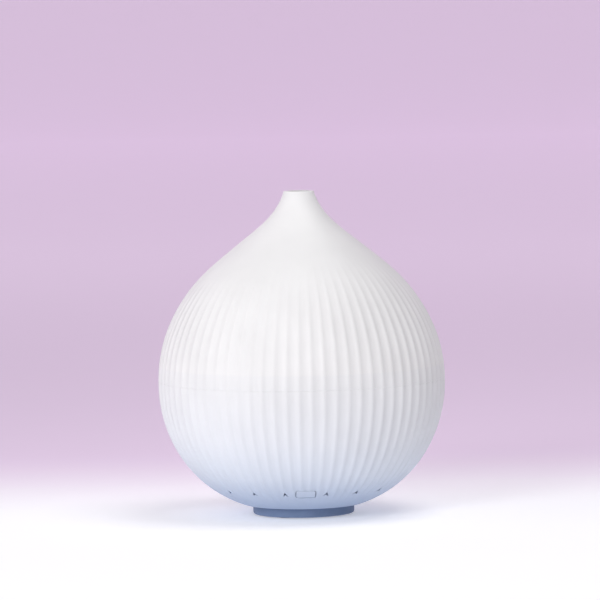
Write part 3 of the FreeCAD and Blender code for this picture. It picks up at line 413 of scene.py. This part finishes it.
def fluted_piece(name, outline, rows):
    """A closed wall from rows of (radius, height, flute depth), with the front flute centred on -Y."""
    body = outline.body
    pitch = 2 * math.pi / body.flute_count
    half_crest = body.crest_width / (2 * math.pi * body.radius) * body.flute_count / 2
    turns, hollows = [], []
    for i in range(body.flute_count):
        for share in FLUTE_SHARES:
            turns.append(-math.pi / 2 + (i + 0.5 + share) * pitch)
            reach = (0.5 - min(share, 1 - share)) / (0.5 - half_crest)
            dip = 1 - reach * reach
            hollows.append((dip + math.sqrt(dip * dip + FLUTE_SOFTNESS)) / 2)
    hollows = np.array(hollows) / max(hollows)
    turns = np.array(turns)
    rows = np.array(rows)
    radii = rows[:, 0:1] - rows[:, 2:3] * hollows[None, :]
    x, y = radii * np.cos(turns), radii * np.sin(turns)
    z = np.repeat(rows[:, 1:2], len(turns), axis=1)
    points = np.stack([x, y, z], axis=2).reshape(-1, 3)
    return mesh_object(name, points, ring_faces(len(rows), len(turns)), FLUTE_SHARP_ANGLE)


def quarter(start, corner, end, depth=0.0, steps=4):
    """Rows of a fluted wall on a quarter round from start to end about their common corner."""
    shares = [k / steps for k in range(steps + 1)]
    return [(*place, depth) for place in arc(Vector(start), Vector(corner), Vector(end), shares)]


def cut(piece, tools, operation="DIFFERENCE"):
    """Cuts, adds or keeps the common part of closed meshes, then removes the tools."""
    for tool in tools:
        step = piece.modifiers.new("cut", "BOOLEAN")
        step.operation = operation
        step.solver = "MANIFOLD"
        step.object = tool
        with bpy.context.temp_override(object=piece, active_object=piece, selected_objects=[piece]):
            bpy.ops.object.modifier_apply(modifier=step.name)
        bpy.data.objects.remove(tool)
    piece.data.shade_smooth()
    piece.data.set_sharp_from_angle(angle=math.radians(SHARP_ANGLE))
    return piece


def joined(name, pieces):
    """One object from several, whose meshes don't touch."""
    points, faces = [], []
    for piece in pieces:
        start = len(points)
        points += [piece.matrix_world @ v.co for v in piece.data.vertices]
        faces += [tuple(start + i for i in f.vertices) for f in piece.data.polygons]
        bpy.data.objects.remove(piece)
    return mesh_object(name, points, faces)


def prism(name, corners, low, high, matrix=None):
    """An upright prism over a level outline, moved by a matrix."""
    matrix = matrix or Matrix()
    count = len(corners)
    points = [matrix @ Vector((x, y, z)) for z in (low, high) for x, y in corners]
    faces = [tuple(reversed(range(count))), tuple(range(count, 2 * count))]
    faces += [(i, (i + 1) % count, count + (i + 1) % count, count + i) for i in range(count)]
    return mesh_object(name, points, faces)


def circle(radius, segments, x=0.0, y=0.0):
    """Corners of a circle about a place."""
    turns = [2 * math.pi * i / segments for i in range(segments)]
    return [(x + radius * math.cos(turn), y + radius * math.sin(turn)) for turn in turns]


def rounded_rectangle(width, length, corner, steps=6):
    """Corners of a rectangle with rounded corners, counter-clockwise."""
    out = []
    for side_x, side_y, start in ((1, 1, 0), (-1, 1, 90), (-1, -1, 180), (1, -1, 270)):
        for k in range(steps + 1):
            turn = math.radians(start + 90 * k / steps)
            out.append((side_x * (width / 2 - corner) + corner * math.cos(turn),
                        side_y * (length / 2 - corner) + corner * math.sin(turn)))
    return out


def backward(y):
    """Turns +Z to +Y, so that a level outline faces the back, and moves it to y."""
    return Matrix.Translation((0, y, 0)) @ Matrix.Rotation(math.radians(-90), 4, "X")


# ---------------- materials

def linear(hex_colour):
    """The linear colour of an sRGB hex value."""
    values = [int(hex_colour[i:i + 2], 16) / 255 for i in (1, 3, 5)]
    return [v / 12.92 if v <= 0.04045 else ((v + 0.055) / 1.055) ** 2.4 for v in values] + [1.0]


def add_node(tree, kind, links=(), **settings):
    """Adds a node; settings with a leading in_ set an input, and links are (input, socket) pairs."""
    node = tree.nodes.new(kind)
    for key, value in settings.items():
        if key.startswith("in_"):
            node.inputs[key[3:].replace("_", " ")].default_value = value
        else:
            setattr(node, key, value)
    for name, source in links:
        tree.links.new(source, node.inputs[name])
    return node


def blend(tree, factor, first, second, kind="MIX"):
    """Mixes two colours, each an sRGB hex value or a socket; so is the factor, or a number."""
    node = add_node(tree, "ShaderNodeMix", data_type="RGBA", blend_type=kind)
    for socket, value in zip((node.inputs[0], node.inputs[6], node.inputs[7]), (factor, first, second)):
        if isinstance(value, bpy.types.NodeSocket):
            tree.links.new(value, socket)
        else:
            socket.default_value = linear(value) if isinstance(value, str) else value
    return node.outputs[2]


def new_material(name, **values):
    """A material with a principled shader of some values, and the place that its textures read."""
    material = bpy.data.materials.new(name)
    material.use_nodes = True
    tree = material.node_tree
    tree.nodes.clear()
    shader = add_node(tree, "ShaderNodeBsdfPrincipled", **values)
    add_node(tree, "ShaderNodeOutputMaterial", [("Surface", shader.outputs[0])])
    place = add_node(tree, "ShaderNodeTexCoord").outputs["Object"]
    return material, tree, shader, place


def noise(tree, place, grain_mm, detail=2.0):
    """Noise in patches of a real size."""
    node = add_node(tree, "ShaderNodeTexNoise", [("Vector", place)], in_Scale=1 / (grain_mm * MM),
                    in_Detail=detail)
    return node.outputs["Fac"]


def colour_ramp(tree, factor, stops, kind="LINEAR"):
    """A colour that runs through stops, each a position and an sRGB hex value."""
    node = add_node(tree, "ShaderNodeValToRGB", [("Fac", factor)])
    elements = node.color_ramp.elements
    elements[0].position, elements[-1].position = stops[0][0], stops[-1][0]
    for position, _ in stops[1:-1]:
        elements.new(position)
    for element, (_, tone) in zip(elements, stops):
        element.color = linear(tone)
    node.color_ramp.interpolation = kind
    return node.outputs["Color"]


def map_range(tree, value, start, end, low=0.0, high=1.0, kind="LINEAR"):
    """A number that goes from low to high as another goes from start to end."""
    node = add_node(tree, "ShaderNodeMapRange", [("Value", value)], interpolation_type=kind,
                    in_From_Min=start, in_From_Max=end, in_To_Min=low, in_To_Max=high)
    return node.outputs["Result"]


def along(tree, place, axis):
    """One coordinate of a place."""
    return add_node(tree, "ShaderNodeSeparateXYZ", [("Vector", place)]).outputs[axis]


def mottled(tree, place, main, darker, grain_mm):
    """A colour that wanders a little towards a darker one."""
    return colour_ramp(tree, noise(tree, place, grain_mm, 3.0), ((PATCH_LOW, darker), (PATCH_HIGH, main)))


def uneven(tree, place, low, high, grain_mm):
    """A number that wanders between two values."""
    return map_range(tree, noise(tree, place, grain_mm), PATCH_LOW, PATCH_HIGH, low, high)


def grain_bump(tree, place, grain_mm, depth_mm):
    """Fine relief of a moulded or blasted surface."""
    bump = add_node(tree, "ShaderNodeBump", [("Height", noise(tree, place, grain_mm))],
                    in_Distance=depth_mm * MM, in_Strength=1.0)
    return bump.outputs["Normal"]


def connect(tree, shader, **sockets):
    """Links sources to the shader's sockets, named with _ for a space."""
    for name, source in sockets.items():
        tree.links.new(source, shader.inputs[name.replace("_", " ")])


def shell_plastic(colours):
    """Polypropylene from a spark-eroded mould: a satin white, with painted shade that cools it to blue-grey
    down to the foot.
    """
    material, tree, shader, place = new_material("moulded_satin_polypropylene", in_IOR=1.49,
                                                 in_Specular_IOR_Level=0.4)
    white = mottled(tree, place, colours.shell, colours.shell_dull, 30)
    # Painted shade: a blue-grey ramp from the underside up to about 80 mm, multiplied into the white.
    stops = ((0.0, colours.painted_shade_foot), (0.14, colours.painted_shade_above_foot), (0.3, "#E0E8F4"), (0.55, "#F1F4FA"),
             (0.98, "#FFFFFF"))
    rise = map_range(tree, along(tree, place, "Z"), 0.0, 80 * MM)
    painted_shade_ramp = colour_ramp(tree, rise, stops, "B_SPLINE")
    connect(tree, shader, Base_Color=blend(tree, 1.0, white, painted_shade_ramp, "MULTIPLY"),
            Roughness=uneven(tree, place, 0.5, 0.6, 6), Normal=grain_bump(tree, place, 0.5, 0.012))
    return material


def foot_plastic(colours):
    """Thermoplastic elastomer, moulded: a dull blue-grey with a faint bloom."""
    material, tree, shader, place = new_material("moulded_blue_grey_elastomer", in_IOR=1.5)
    connect(tree, shader, Base_Color=mottled(tree, place, colours.foot, colours.foot_dull, 8),
            Roughness=uneven(tree, place, 0.55, 0.68, 3), Normal=grain_bump(tree, place, 0.4, 0.015))
    return material


def milky_plastic():
    """Polypropylene without pigment, moulded: milky, glossy, and it lets some light through."""
    material, tree, shader, place = new_material("moulded_natural_polypropylene", in_IOR=1.49,
                                                 in_Transmission_Weight=0.12)
    connect(tree, shader, Base_Color=mottled(tree, place, "#EEF1F4", "#E7EBF0", 18),
            Roughness=uneven(tree, place, 0.3, 0.38, 12), Normal=grain_bump(tree, place, 1.2, 0.003))
    return material


def plain_finish(name, main, darker, roughness, metallic, grain_mm):
    """A finish of one colour with the unevenness of its making."""
    patch_mm, depth_mm = 4, 0.01
    material, tree, shader, place = new_material(name, in_Metallic=metallic)
    connect(tree, shader, Base_Color=mottled(tree, place, main, darker, patch_mm),
            Roughness=uneven(tree, place, roughness - 0.05, roughness + 0.07, patch_mm),
            Normal=grain_bump(tree, place, grain_mm, depth_mm))
    return material


# Finishes of the nodes that show as they are, by what they're made of: colour, darker colour, roughness,
# metallic, grain in millimetres, nodes.
PLAIN_FINISHES = {
    # Moulded silicone: dull and soft, without a clear highlight.
    "grey_silicone": ("#8E949C", "#80868F", 0.62, 0.0, 0.5, "foot_pads"),
    "white_silicone": ("#E2E1DC", "#D6D5CF", 0.55, 0.0, 0.5, "tank_gasket transducer_seal"),
    # Plated screws have a cool, slightly grey shine; stamped steel, drawn cans and plated brass shine more.
    "zinc_plated_steel": ("#B4B6B8", "#9DA0A3", 0.32, 1.0, 0.3,
                          "case_screws clamp_screws fan_screws led_screws board_screws key_screws"),
    "stamped_stainless_steel": ("#C3C5C8", "#AFB1B4", 0.28, 1.0, 0.25, "transducer_clamp"),
    "drawn_aluminium_can": ("#C9CBCE", "#B2B5B9", 0.3, 1.0, 0.2, "capacitors"),
    "plated_brass": ("#D9BE74", "#C4A95F", 0.25, 1.0, 0.2, "jack_pin"),
    "black_anodised_aluminium": ("#3A3C40", "#2C2E31", 0.42, 1.0, 0.25, "heat_sink"),
    # Fired silver on ceramic: a warm, pale half-shine.
    "silvered_piezo_ceramic": ("#D2CEC0", "#BDB9AB", 0.35, 0.8, 0.3, "transducer_disc"),
    # Moulded plastics: near-black with a grey sheen, and cream.
    "black_glass_filled_nylon": ("#17181A", "#101113", 0.45, 0.0, 0.4,
                                 "fan_housing fan_rotor dc_jack tact_switch switch_plunger"),
    "natural_nylon": ("#EAE5D2", "#DDD7C1", 0.4, 0.0, 0.4, "cable_sockets"),
    "moulded_epoxy": ("#1A1B1D", "#131415", 0.5, 0.0, 0.25, "driver_transistor control_chip"),
    "led_package_resin": ("#EFE9C4", "#E0D79F", 0.25, 0.0, 0.8, "leds"),
    # Printed and cured solder mask: glossy green or white over a faint weave.
    "green_solder_mask": ("#13502C", "#0E4124", 0.32, 0.0, 1.6, "main_board key_board"),
    "white_solder_mask": ("#E6E8E6", "#DADDDA", 0.35, 0.0, 1.6, "led_board"),
    # Pressed and fired: dark, dry ferrite, and tan chip bodies.
    "sintered_ferrite": ("#2A2B2D", "#1E1F21", 0.6, 0.0, 0.3, "inductor"),
    "fired_chip_ceramic": ("#A08060", "#8A6C4E", 0.4, 0.0, 0.3, "board_passives"),
    # Extruded sleeves of leads, red and black.
    "red_and_black_pvc": ("#8E1414", "#141414", 0.42, 0.0, 0.4,
                          "fan_leads transducer_leads led_leads key_leads"),
}
MILKY_NODES = ("water_tank", "duct_hood")


def dress(piece, material):
    """Gives a piece one material."""
    piece.data.materials.clear()
    piece.data.materials.append(material)


def dress_shell(piece):
    """Gives a piece the shells' white plastic, which is made once."""
    dress(piece, bpy.data.materials.get("moulded_satin_polypropylene") or shell_plastic(settings("colours")))


def dress_milky(piece):
    """Gives a piece the milky plastic, which is made once."""
    dress(piece, bpy.data.materials.get("moulded_natural_polypropylene") or milky_plastic())


# ---------------- operators

class BuildOperator(Operator):
    """What the operators share"""
    bl_options = {"REGISTER", "UNDO"}


class DIFFUSER_OT_cover(BuildOperator):
    """Builds the fluted upper cover with its nozzle"""
    bl_idname = "diffuser.build_cover"
    bl_label = "Upper cover"

    def execute(self, context):
        body = settings("body")
        outline = Outline(body)
        edge, lip = body.seam_round, body.nozzle_round
        rim, _ = outline.point(SEAM)
        inner_rim, _ = outline.point(SEAM, body.wall)
        top, _ = outline.point(TOP - lip)
        bore, _ = outline.point(TOP, body.wall)
        depth = outline.flute_depth(SEAM)
        rows = [(inner_rim, SEAM, 0.0)]
        rows += quarter((rim - edge, SEAM), (rim, SEAM), (rim, SEAM + edge), depth)
        rows += outline.outer_wall(SEAM + edge, TOP - lip, COVER_ROWS)[1:]
        rows += quarter((top, TOP - lip), (top, TOP), (top - lip, TOP))[1:]
        rows += quarter((bore + lip / 2, TOP), (bore, TOP), (bore, TOP - lip / 2))
        rows += outline.inner_wall(SEAM, TOP - lip, COVER_INNER_ROWS)[1:-1]
        piece = fluted_piece("fluted_cover", outline, rows)
        dress_shell(piece)
        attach(piece, "cover")
        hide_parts("upper_cover")
        return {"FINISHED"}


class DIFFUSER_OT_shell(BuildOperator):
    """Builds the fluted lower shell with its vents, key opening, inlet recess, ledge and posts"""
    bl_idname = "diffuser.build_shell"
    bl_label = "Lower shell"

    def ledge(self, outline):
        """Rows of the ledge under the tank's collar, from the top down."""
        shell, wall = settings("shell"), settings("body").wall
        gasket_low, gasket_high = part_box("tank_gasket")
        top, foot = gasket_low.z, gasket_low.z - shell.ledge_depth
        reach = gasket_high.x - shell.ledge_width
        return [(outline.point(top, wall)[0], top, 0.0), (reach, top, 0.0),
                (reach, top - shell.ledge_lip, 0.0), (outline.point(foot, wall)[0], foot, 0.0)]

    def wall(self, outline):
        """The wall with its ledge, before anything is cut into it."""
        body, hole = settings("body"), settings("shell").floor_hole
        edge = body.seam_round
        rim, _ = outline.point(SEAM)
        inner_rim, _ = outline.point(SEAM, body.wall)
        start, _ = outline.point(UNDERSIDE)
        _, floor = outline.point(INSIDE_LOW, body.wall)
        depth = outline.flute_depth(SEAM)
        ledge = self.ledge(outline)
        ledge_top, ledge_foot = ledge[0][1], ledge[-1][1]
        inside = outline.inner_wall(INSIDE_LOW, SEAM, SHELL_INNER_ROWS)[1:]
        rows = [(hole, UNDERSIDE, 0.0), (start - edge, UNDERSIDE, 0.0)]
        rows += outline.outer_wall(UNDERSIDE + edge, SEAM - edge, SHELL_ROWS)
        rows += quarter((rim, SEAM - edge), (rim, SEAM), (rim - edge, SEAM), depth)[1:]
        rows.append((inner_rim, SEAM, 0.0))
        rows += [row for row in inside if row[1] > ledge_top]
        rows += ledge
        rows += [row for row in inside if row[1] < ledge_foot]
        rows.append((hole, floor, 0.0))
        return fluted_piece("fluted_shell", outline, rows)

    def posts(self, outline, key_frame):
        """The standoffs of the main board and the two posts that hold the key's board."""
        body, shell = settings("body"), settings("shell")
        board_low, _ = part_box("main_board")
        screws_low, screws_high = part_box("board_screws")
        inner_floor = outline.point(INSIDE_LOW, body.wall)[1]
        sink, into_wall = MM, 0.8
        out = []
        for x in (screws_low.x + shell.screw_head, screws_high.x - shell.screw_head):
            for y in (screws_low.y + shell.screw_head, screws_high.y - shell.screw_head):
                ring = circle(shell.standoff_radius, SMALL_CIRCLE, x, y)
                out.append(prism("standoff", ring, inner_floor - sink, board_low.z))
        for x in (-shell.post_spread, shell.post_spread):
            ring = circle(shell.post_radius, SMALL_CIRCLE, x)
            out.append(prism("key_post", ring, -shell.post_length, -body.wall * into_wall, key_frame))
        return out

    def vents(self, outline):
        """Cutters of the intake vents, all round from the front."""
        body, shell = settings("body"), settings("shell")
        half, high, low = shell.vent_width / 2, shell.vent_height / 2, -shell.vent_height / 2
        corners = [(0, high), (-half, low), (0, low + shell.vent_notch), (half, low)]
        step = 360 / body.flute_count
        out = []
        for i in range(int(body.flute_count / shell.vent_step / 2)):
            for side in (1, -1):
                turn = -90 + side * (shell.vent_first + shell.vent_step * i) * step
                matrix = outline.frame(turn, UNDERSIDE + shell.detail_rise)
                out.append(prism("vent", corners, -2 * body.wall, body.wall, matrix))
        return out

    def inlet_cup(self, outline, axis, recess_floor):
        """The cup round the power inlet, trimmed to the middle of the wall."""
        body, shell = settings("body"), settings("shell")
        heights = outline.heights(UNDERSIDE + MM, SEAM - MM, TRIM_ROWS)
        middle = [outline.point(height, body.wall / 2) for height in heights]
        trim = turned_piece("trim", [(0, middle[0][1])] + middle + [(0, middle[-1][1])], TRIM_SEGMENTS)
        ring = circle(shell.recess_radius + shell.recess_wall, CIRCLE, 0, -axis)
        cup = prism("cup", ring, 0, REACH, backward(recess_floor - body.wall))
        return cut(cup, [trim], "INTERSECT")

    def execute(self, context):
        body, shell, key = settings("body"), settings("shell"), settings("key")
        outline = Outline(body)
        piece = self.wall(outline)
        pin_low, pin_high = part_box("jack_pin")
        axis = (pin_low.z + pin_high.z) / 2
        recess_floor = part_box("dc_jack")[1].y + shell.recess_rise
        key_frame = outline.frame(-90, UNDERSIDE + shell.detail_rise)
        cut(piece, [self.inlet_cup(outline, axis, recess_floor)] + self.posts(outline, key_frame), "UNION")
        opening = rounded_rectangle(key.width + 2 * key.gap, key.height + 2 * key.gap, key.corner + key.gap)
        recess = circle(shell.recess_radius, LARGE_CIRCLE, 0, -axis)
        tools = self.vents(outline)
        tools.append(prism("opening", opening, -2 * body.wall, body.wall, key_frame))
        tools.append(prism("recess", recess, 0, REACH, backward(recess_floor)))
        cut(piece, [joined("cutters", tools)])
        bore = circle(shell.bore_radius, CIRCLE, 0, -axis)
        cut(piece, [prism("bore", bore, -shell.bore_depth, MM, backward(recess_floor))])
        dress_shell(piece)
        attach(piece, "base")
        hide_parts("lower_shell")
        return {"FINISHED"}


class DIFFUSER_OT_key(BuildOperator):
    """Builds the push key, which follows the curve of the body"""
    bl_idname = "diffuser.build_key"
    bl_label = "Push key"

    def rings(self):
        """Rings from the middle of the face out over its edge, down the side and over flange and stem."""
        key = settings("key")
        back = settings("body").wall + key.play
        stem_start = back + key.flange_thickness
        plate = rounded_rectangle(key.width, key.height, key.corner)
        flange = rounded_rectangle(key.width + 2 * key.flange_width, key.height + 2 * key.flange_width,
                                   key.corner + key.flange_corner)
        stem = circle(key.stem_radius, len(flange))
        out = [[(x * part, y * part, 0.0) for x, y in plate] for part in KEY_FACE_RINGS]
        for inset, drop in KEY_EDGE:
            edge = rounded_rectangle(key.width - 2 * inset * MM, key.height - 2 * inset * MM,
                                     key.corner - inset * MM)
            out.append([(x, y, -drop * MM) for x, y in edge])
        for ring, depth in ((plate, back), (flange, back), (flange, stem_start), (stem, stem_start),
                            (stem, stem_start + key.stem_length)):
            out.append([(x, y, -depth) for x, y in ring])
        return out

    def execute(self, context):
        key = settings("key")
        rings = self.rings()
        matrix = Outline(settings("body")).frame(-90, UNDERSIDE + settings("shell").detail_rise)
        points = [Vector((0, 0, 0))]
        for ring in rings:
            points += [Vector((x, y, z - x * x / (2 * key.round_across) - y * y / (2 * key.round_along)))
                       for x, y, z in ring]
        count = len(rings[0])
        faces = [(0, 1 + j, 1 + (j + 1) % count) for j in range(count)]
        for i in range(len(rings) - 1):
            for j in range(count):
                k = (j + 1) % count
                a, b = 1 + i * count, 1 + (i + 1) * count
                faces.append((a + j, b + j, b + k, a + k))
        faces.append(tuple(1 + (len(rings) - 1) * count + j for j in reversed(range(count))))
        piece = mesh_object("key_cap", [matrix @ p for p in points], faces, 50)
        dress_shell(piece)
        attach(piece, "key")
        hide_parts("push_key")
        return {"FINISHED"}


class DIFFUSER_OT_foot(BuildOperator):
    """Builds the foot with its recesses for the pads"""
    bl_idname = "diffuser.build_foot"
    bl_label = "Foot"

    def execute(self, context):
        foot = settings("foot")
        foot_low, foot_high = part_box("foot")
        low, high, radius = foot_low.z, foot_high.z, foot_high.x
        inner, floor = radius - foot.wall, low + foot.floor
        profile = rounded([
            (0, low, 0), (radius, low, foot.edge_round), (radius, high, foot.rim_round),
            (inner, high, foot.rim_round_inside), (inner, floor, foot.corner_round), (0, floor, 0),
        ], 8)
        piece = turned_piece("foot_ring", profile)
        pads_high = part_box("foot_pads")[1]
        ring = pads_high.x - foot.pad_radius
        bosses, recesses = [], []
        for degree in (0, 120, 240):
            x, y = ring * math.cos(math.radians(degree)), ring * math.sin(math.radians(degree))
            boss = circle(foot.boss_radius, BOSS_CIRCLE, x, y)
            recess = circle(foot.pad_radius + foot.pad_play, CIRCLE, x, y)
            bosses.append(prism("boss", boss, low + foot.boss_sink, high))
            recesses.append(prism("recess", recess, 0, pads_high.z))
        cut(piece, [joined("bosses", bosses)], "UNION")
        cut(piece, [joined("recesses", recesses)])
        dress(piece, foot_plastic(settings("colours")))
        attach(piece, "base")
        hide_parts("foot")
        return {"FINISHED"}


class DIFFUSER_OT_lid(BuildOperator):
    """Builds the inner lid with its mist chimney"""
    bl_idname = "diffuser.build_lid"
    bl_label = "Inner lid"

    def dome(self, skirt, flange_top, inset):
        """Places on the dome from the skirt in to the chimney, inset from its upper side."""
        lid = settings("lid")
        middle_height = flange_top + lid.dome_rise * lid.dome_share - inset * lid.dome_slant
        outer = Vector((skirt - inset, flange_top - inset))
        inner = Vector((lid.chimney_foot - inset, flange_top + lid.dome_rise - inset))
        bow = Vector(((skirt + lid.chimney_foot) / 2, middle_height)) * 2 - (outer + inner) / 2
        return [(*place, 0) for place in arc(outer, bow, inner, [k / DOME_ROWS for k in range(1, DOME_ROWS)])]

    def execute(self, context):
        lid = settings("lid")
        low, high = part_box("inner_lid")
        flange, wall, edge = high.x, lid.wall, lid.edge_round
        skirt = flange - lid.flange_width
        base = low.z + lid.skirt_drop
        flange_top = base + wall
        dome_top = flange_top + lid.dome_rise
        profile = [(skirt - wall, low.z, lid.skirt_round), (skirt, low.z, lid.skirt_round),
                   (skirt, base, lid.corner_round), (flange, base, edge), (flange, flange_top, edge),
                   (skirt, flange_top, 0)]
        profile += self.dome(skirt, flange_top, 0.0)
        profile += [(lid.chimney_foot, dome_top, lid.chimney_round), (lid.chimney_top, high.z, edge),
                    (lid.chimney_top - wall, high.z, edge),
                    (lid.chimney_foot - wall, dome_top - wall, lid.chimney_round)]
        profile += reversed(self.dome(skirt, flange_top, wall))
        profile.append((skirt - wall, base, 0))
        piece = turned_piece("turned_inner_lid", rounded(profile))
        dress_milky(piece)
        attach(piece, "lid")
        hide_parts("inner_lid")
        return {"FINISHED"}


class DIFFUSER_OT_inside(BuildOperator):
    """Gives the pieces that show as they come from the frame their finishes"""
    bl_idname = "diffuser.dress_inside"
    bl_label = "Inner pieces"

    def execute(self, context):
        for name, (*finish, nodes) in PLAIN_FINISHES.items():
            material = plain_finish(name, *finish)
            for node in nodes.split():
                dress(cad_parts[node], material)
        for node in MILKY_NODES:
            dress_milky(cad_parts[node])
        return {"FINISHED"}


class DIFFUSER_OT_stage(BuildOperator):
    """Builds the floor that sweeps up into a backdrop, the lights, the room and the camera"""
    bl_idname = "diffuser.build_stage"
    bl_label = "Stage"

    def sweep_material(self):
        """Paint on the studio's sweep: white at the object and lilac further back, with a painted glow in
        place of light from behind.
        """
        stage, colours = settings("stage"), settings("colours")
        material, tree, shader, place = new_material("painted_studio_sweep")
        y = along(tree, place, "Y")
        lilac = map_range(tree, y, 0.0, stage.fade, kind="SMOOTHSTEP")
        # Painted light: the floor glows, more at the object than just behind it, which lifts the shade round
        # the object's foot.
        near = map_range(tree, y, 0.0, stage.fade, stage.glow_near, stage.glow_middle, "SMOOTHSTEP")
        far = map_range(tree, y, stage.fade, stage.far, 0.0, stage.glow_far, "SMOOTHSTEP")
        paint = blend(tree, lilac, colours.floor, colours.backdrop)
        glow = add_node(tree, "ShaderNodeMath", operation="ADD")
        tree.links.new(near, glow.inputs[0])
        tree.links.new(far, glow.inputs[1])
        connect(tree, shader, Base_Color=paint, Roughness=uneven(tree, place, 0.85, 0.95, 60),
                Emission_Color=paint, Emission_Strength=glow.outputs["Value"])
        return material

    def floor(self):
        """The floor and the backdrop in one sweep."""
        stage = settings("stage")
        line = [(-stage.floor_front, 0.0)]
        line += [(stage.floor_behind + stage.bend * math.sin(turn), stage.bend * (1 - math.cos(turn)))
                 for turn in np.linspace(0, math.pi / 2, 24)]
        line.append((stage.floor_behind + stage.bend, stage.backdrop_height))
        points = [(x, y, z) for y, z in line for x in (-stage.half_width, stage.half_width)]
        faces = [(2 * i, 2 * i + 1, 2 * i + 3, 2 * i + 2) for i in range(len(line) - 1)]
        floor = mesh_object("floor_sweep", points, faces)
        dress(floor, self.sweep_material())

    def light(self, name, place, aim, size, power):
        """A soft, white area light."""
        data = bpy.data.lights.new(name, "AREA")
        data.shape = "RECTANGLE"
        data.size, data.size_y = size
        data.energy = power
        lamp = bpy.data.objects.new(name, data)
        lamp.location = place
        lamp.rotation_euler = (Vector(aim) - Vector(place)).to_track_quat("-Z", "Y").to_euler()
        bpy.context.scene.collection.objects.link(lamp)

    def room(self):
        """The light from the room, which is darker on the right."""
        stage, colours = settings("stage"), settings("colours")
        world = bpy.data.worlds.new("studio")
        world.use_nodes = True
        tree = world.node_tree
        way = add_node(tree, "ShaderNodeTexCoord").outputs["Generated"]
        fade = map_range(tree, along(tree, way, "X"), -0.6, 1.0, kind="SMOOTHSTEP")
        light = tree.nodes["Background"]
        tree.links.new(blend(tree, fade, colours.room_left, colours.room_right), light.inputs["Color"])
        light.inputs["Strength"].default_value = stage.room_light
        bpy.context.scene.world = world

    def camera(self):
        """The camera, far off with a long lens."""
        stage = settings("stage")
        data = bpy.data.cameras.new("studio_camera")
        data.sensor_width = 36
        data.lens = data.sensor_width * stage.camera_distance / stage.seen_width
        data.clip_end = 20
        camera = bpy.data.objects.new("studio_camera", data)
        level = math.cos(stage.elevation)
        back = Vector((math.sin(stage.azimuth) * level, -math.cos(stage.azimuth) * level,
                       math.sin(stage.elevation)))
        place = Matrix.Translation(Vector(stage.aim) + back * stage.camera_distance)
        turn = (-back).to_track_quat("-Z", "Y").to_matrix().to_4x4()
        camera.matrix_world = place @ turn @ Matrix.Rotation(-stage.roll, 4, "Z")
        bpy.context.scene.collection.objects.link(camera)
        bpy.context.scene.camera = camera

    def execute(self, context):
        self.camera()
        self.floor()
        for light in STUDIO_LIGHTS:
            self.light(*light)
        self.room()
        context.scene.view_settings.view_transform = "Standard"
        return {"FINISHED"}


class DIFFUSER_PT_panel(Panel):
    """The diffuser's steps and settings"""
    bl_label = "Oil diffuser"
    bl_idname = "DIFFUSER_PT_panel"
    bl_space_type = "VIEW_3D"
    bl_region_type = "UI"
    bl_category = "Diffuser"

    def draw(self, context):
        for step in BUILD_STEPS:
            self.layout.operator(step.bl_idname)
        for name in SETTINGS:
            group = settings(name)
            box = self.layout.box()
            for setting in group.bl_rna.properties.keys():
                if setting not in {"rna_type", "name"}:
                    box.prop(group, setting)


BUILD_STEPS = (DIFFUSER_OT_stage, DIFFUSER_OT_cover, DIFFUSER_OT_shell, DIFFUSER_OT_key, DIFFUSER_OT_foot,
               DIFFUSER_OT_lid, DIFFUSER_OT_inside)
SETTINGS = {"body": DiffuserBodySettings, "shell": DiffuserShellSettings, "key": DiffuserKeySettings,
            "foot": DiffuserFootSettings, "lid": DiffuserLidSettings, "colours": DiffuserColourSettings,
            "stage": DiffuserStageSettings}


def register():
    for name, group in SETTINGS.items():
        bpy.utils.register_class(group)
        setattr(bpy.types.Scene, "diffuser_" + name, PointerProperty(type=group))
    for step in BUILD_STEPS:
        bpy.utils.register_class(step)
    bpy.utils.register_class(DIFFUSER_PT_panel)


def unregister():
    bpy.utils.unregister_class(DIFFUSER_PT_panel)
    for step in reversed(BUILD_STEPS):
        bpy.utils.unregister_class(step)
    for name, group in SETTINGS.items():
        delattr(bpy.types.Scene, "diffuser_" + name)
        bpy.utils.unregister_class(group)


def main():
    register()
    for step in BUILD_STEPS:
        group, name = step.bl_idname.split(".")
        getattr(getattr(bpy.ops, group), name)()
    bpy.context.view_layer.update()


if __name__ == "__main__":
    main()
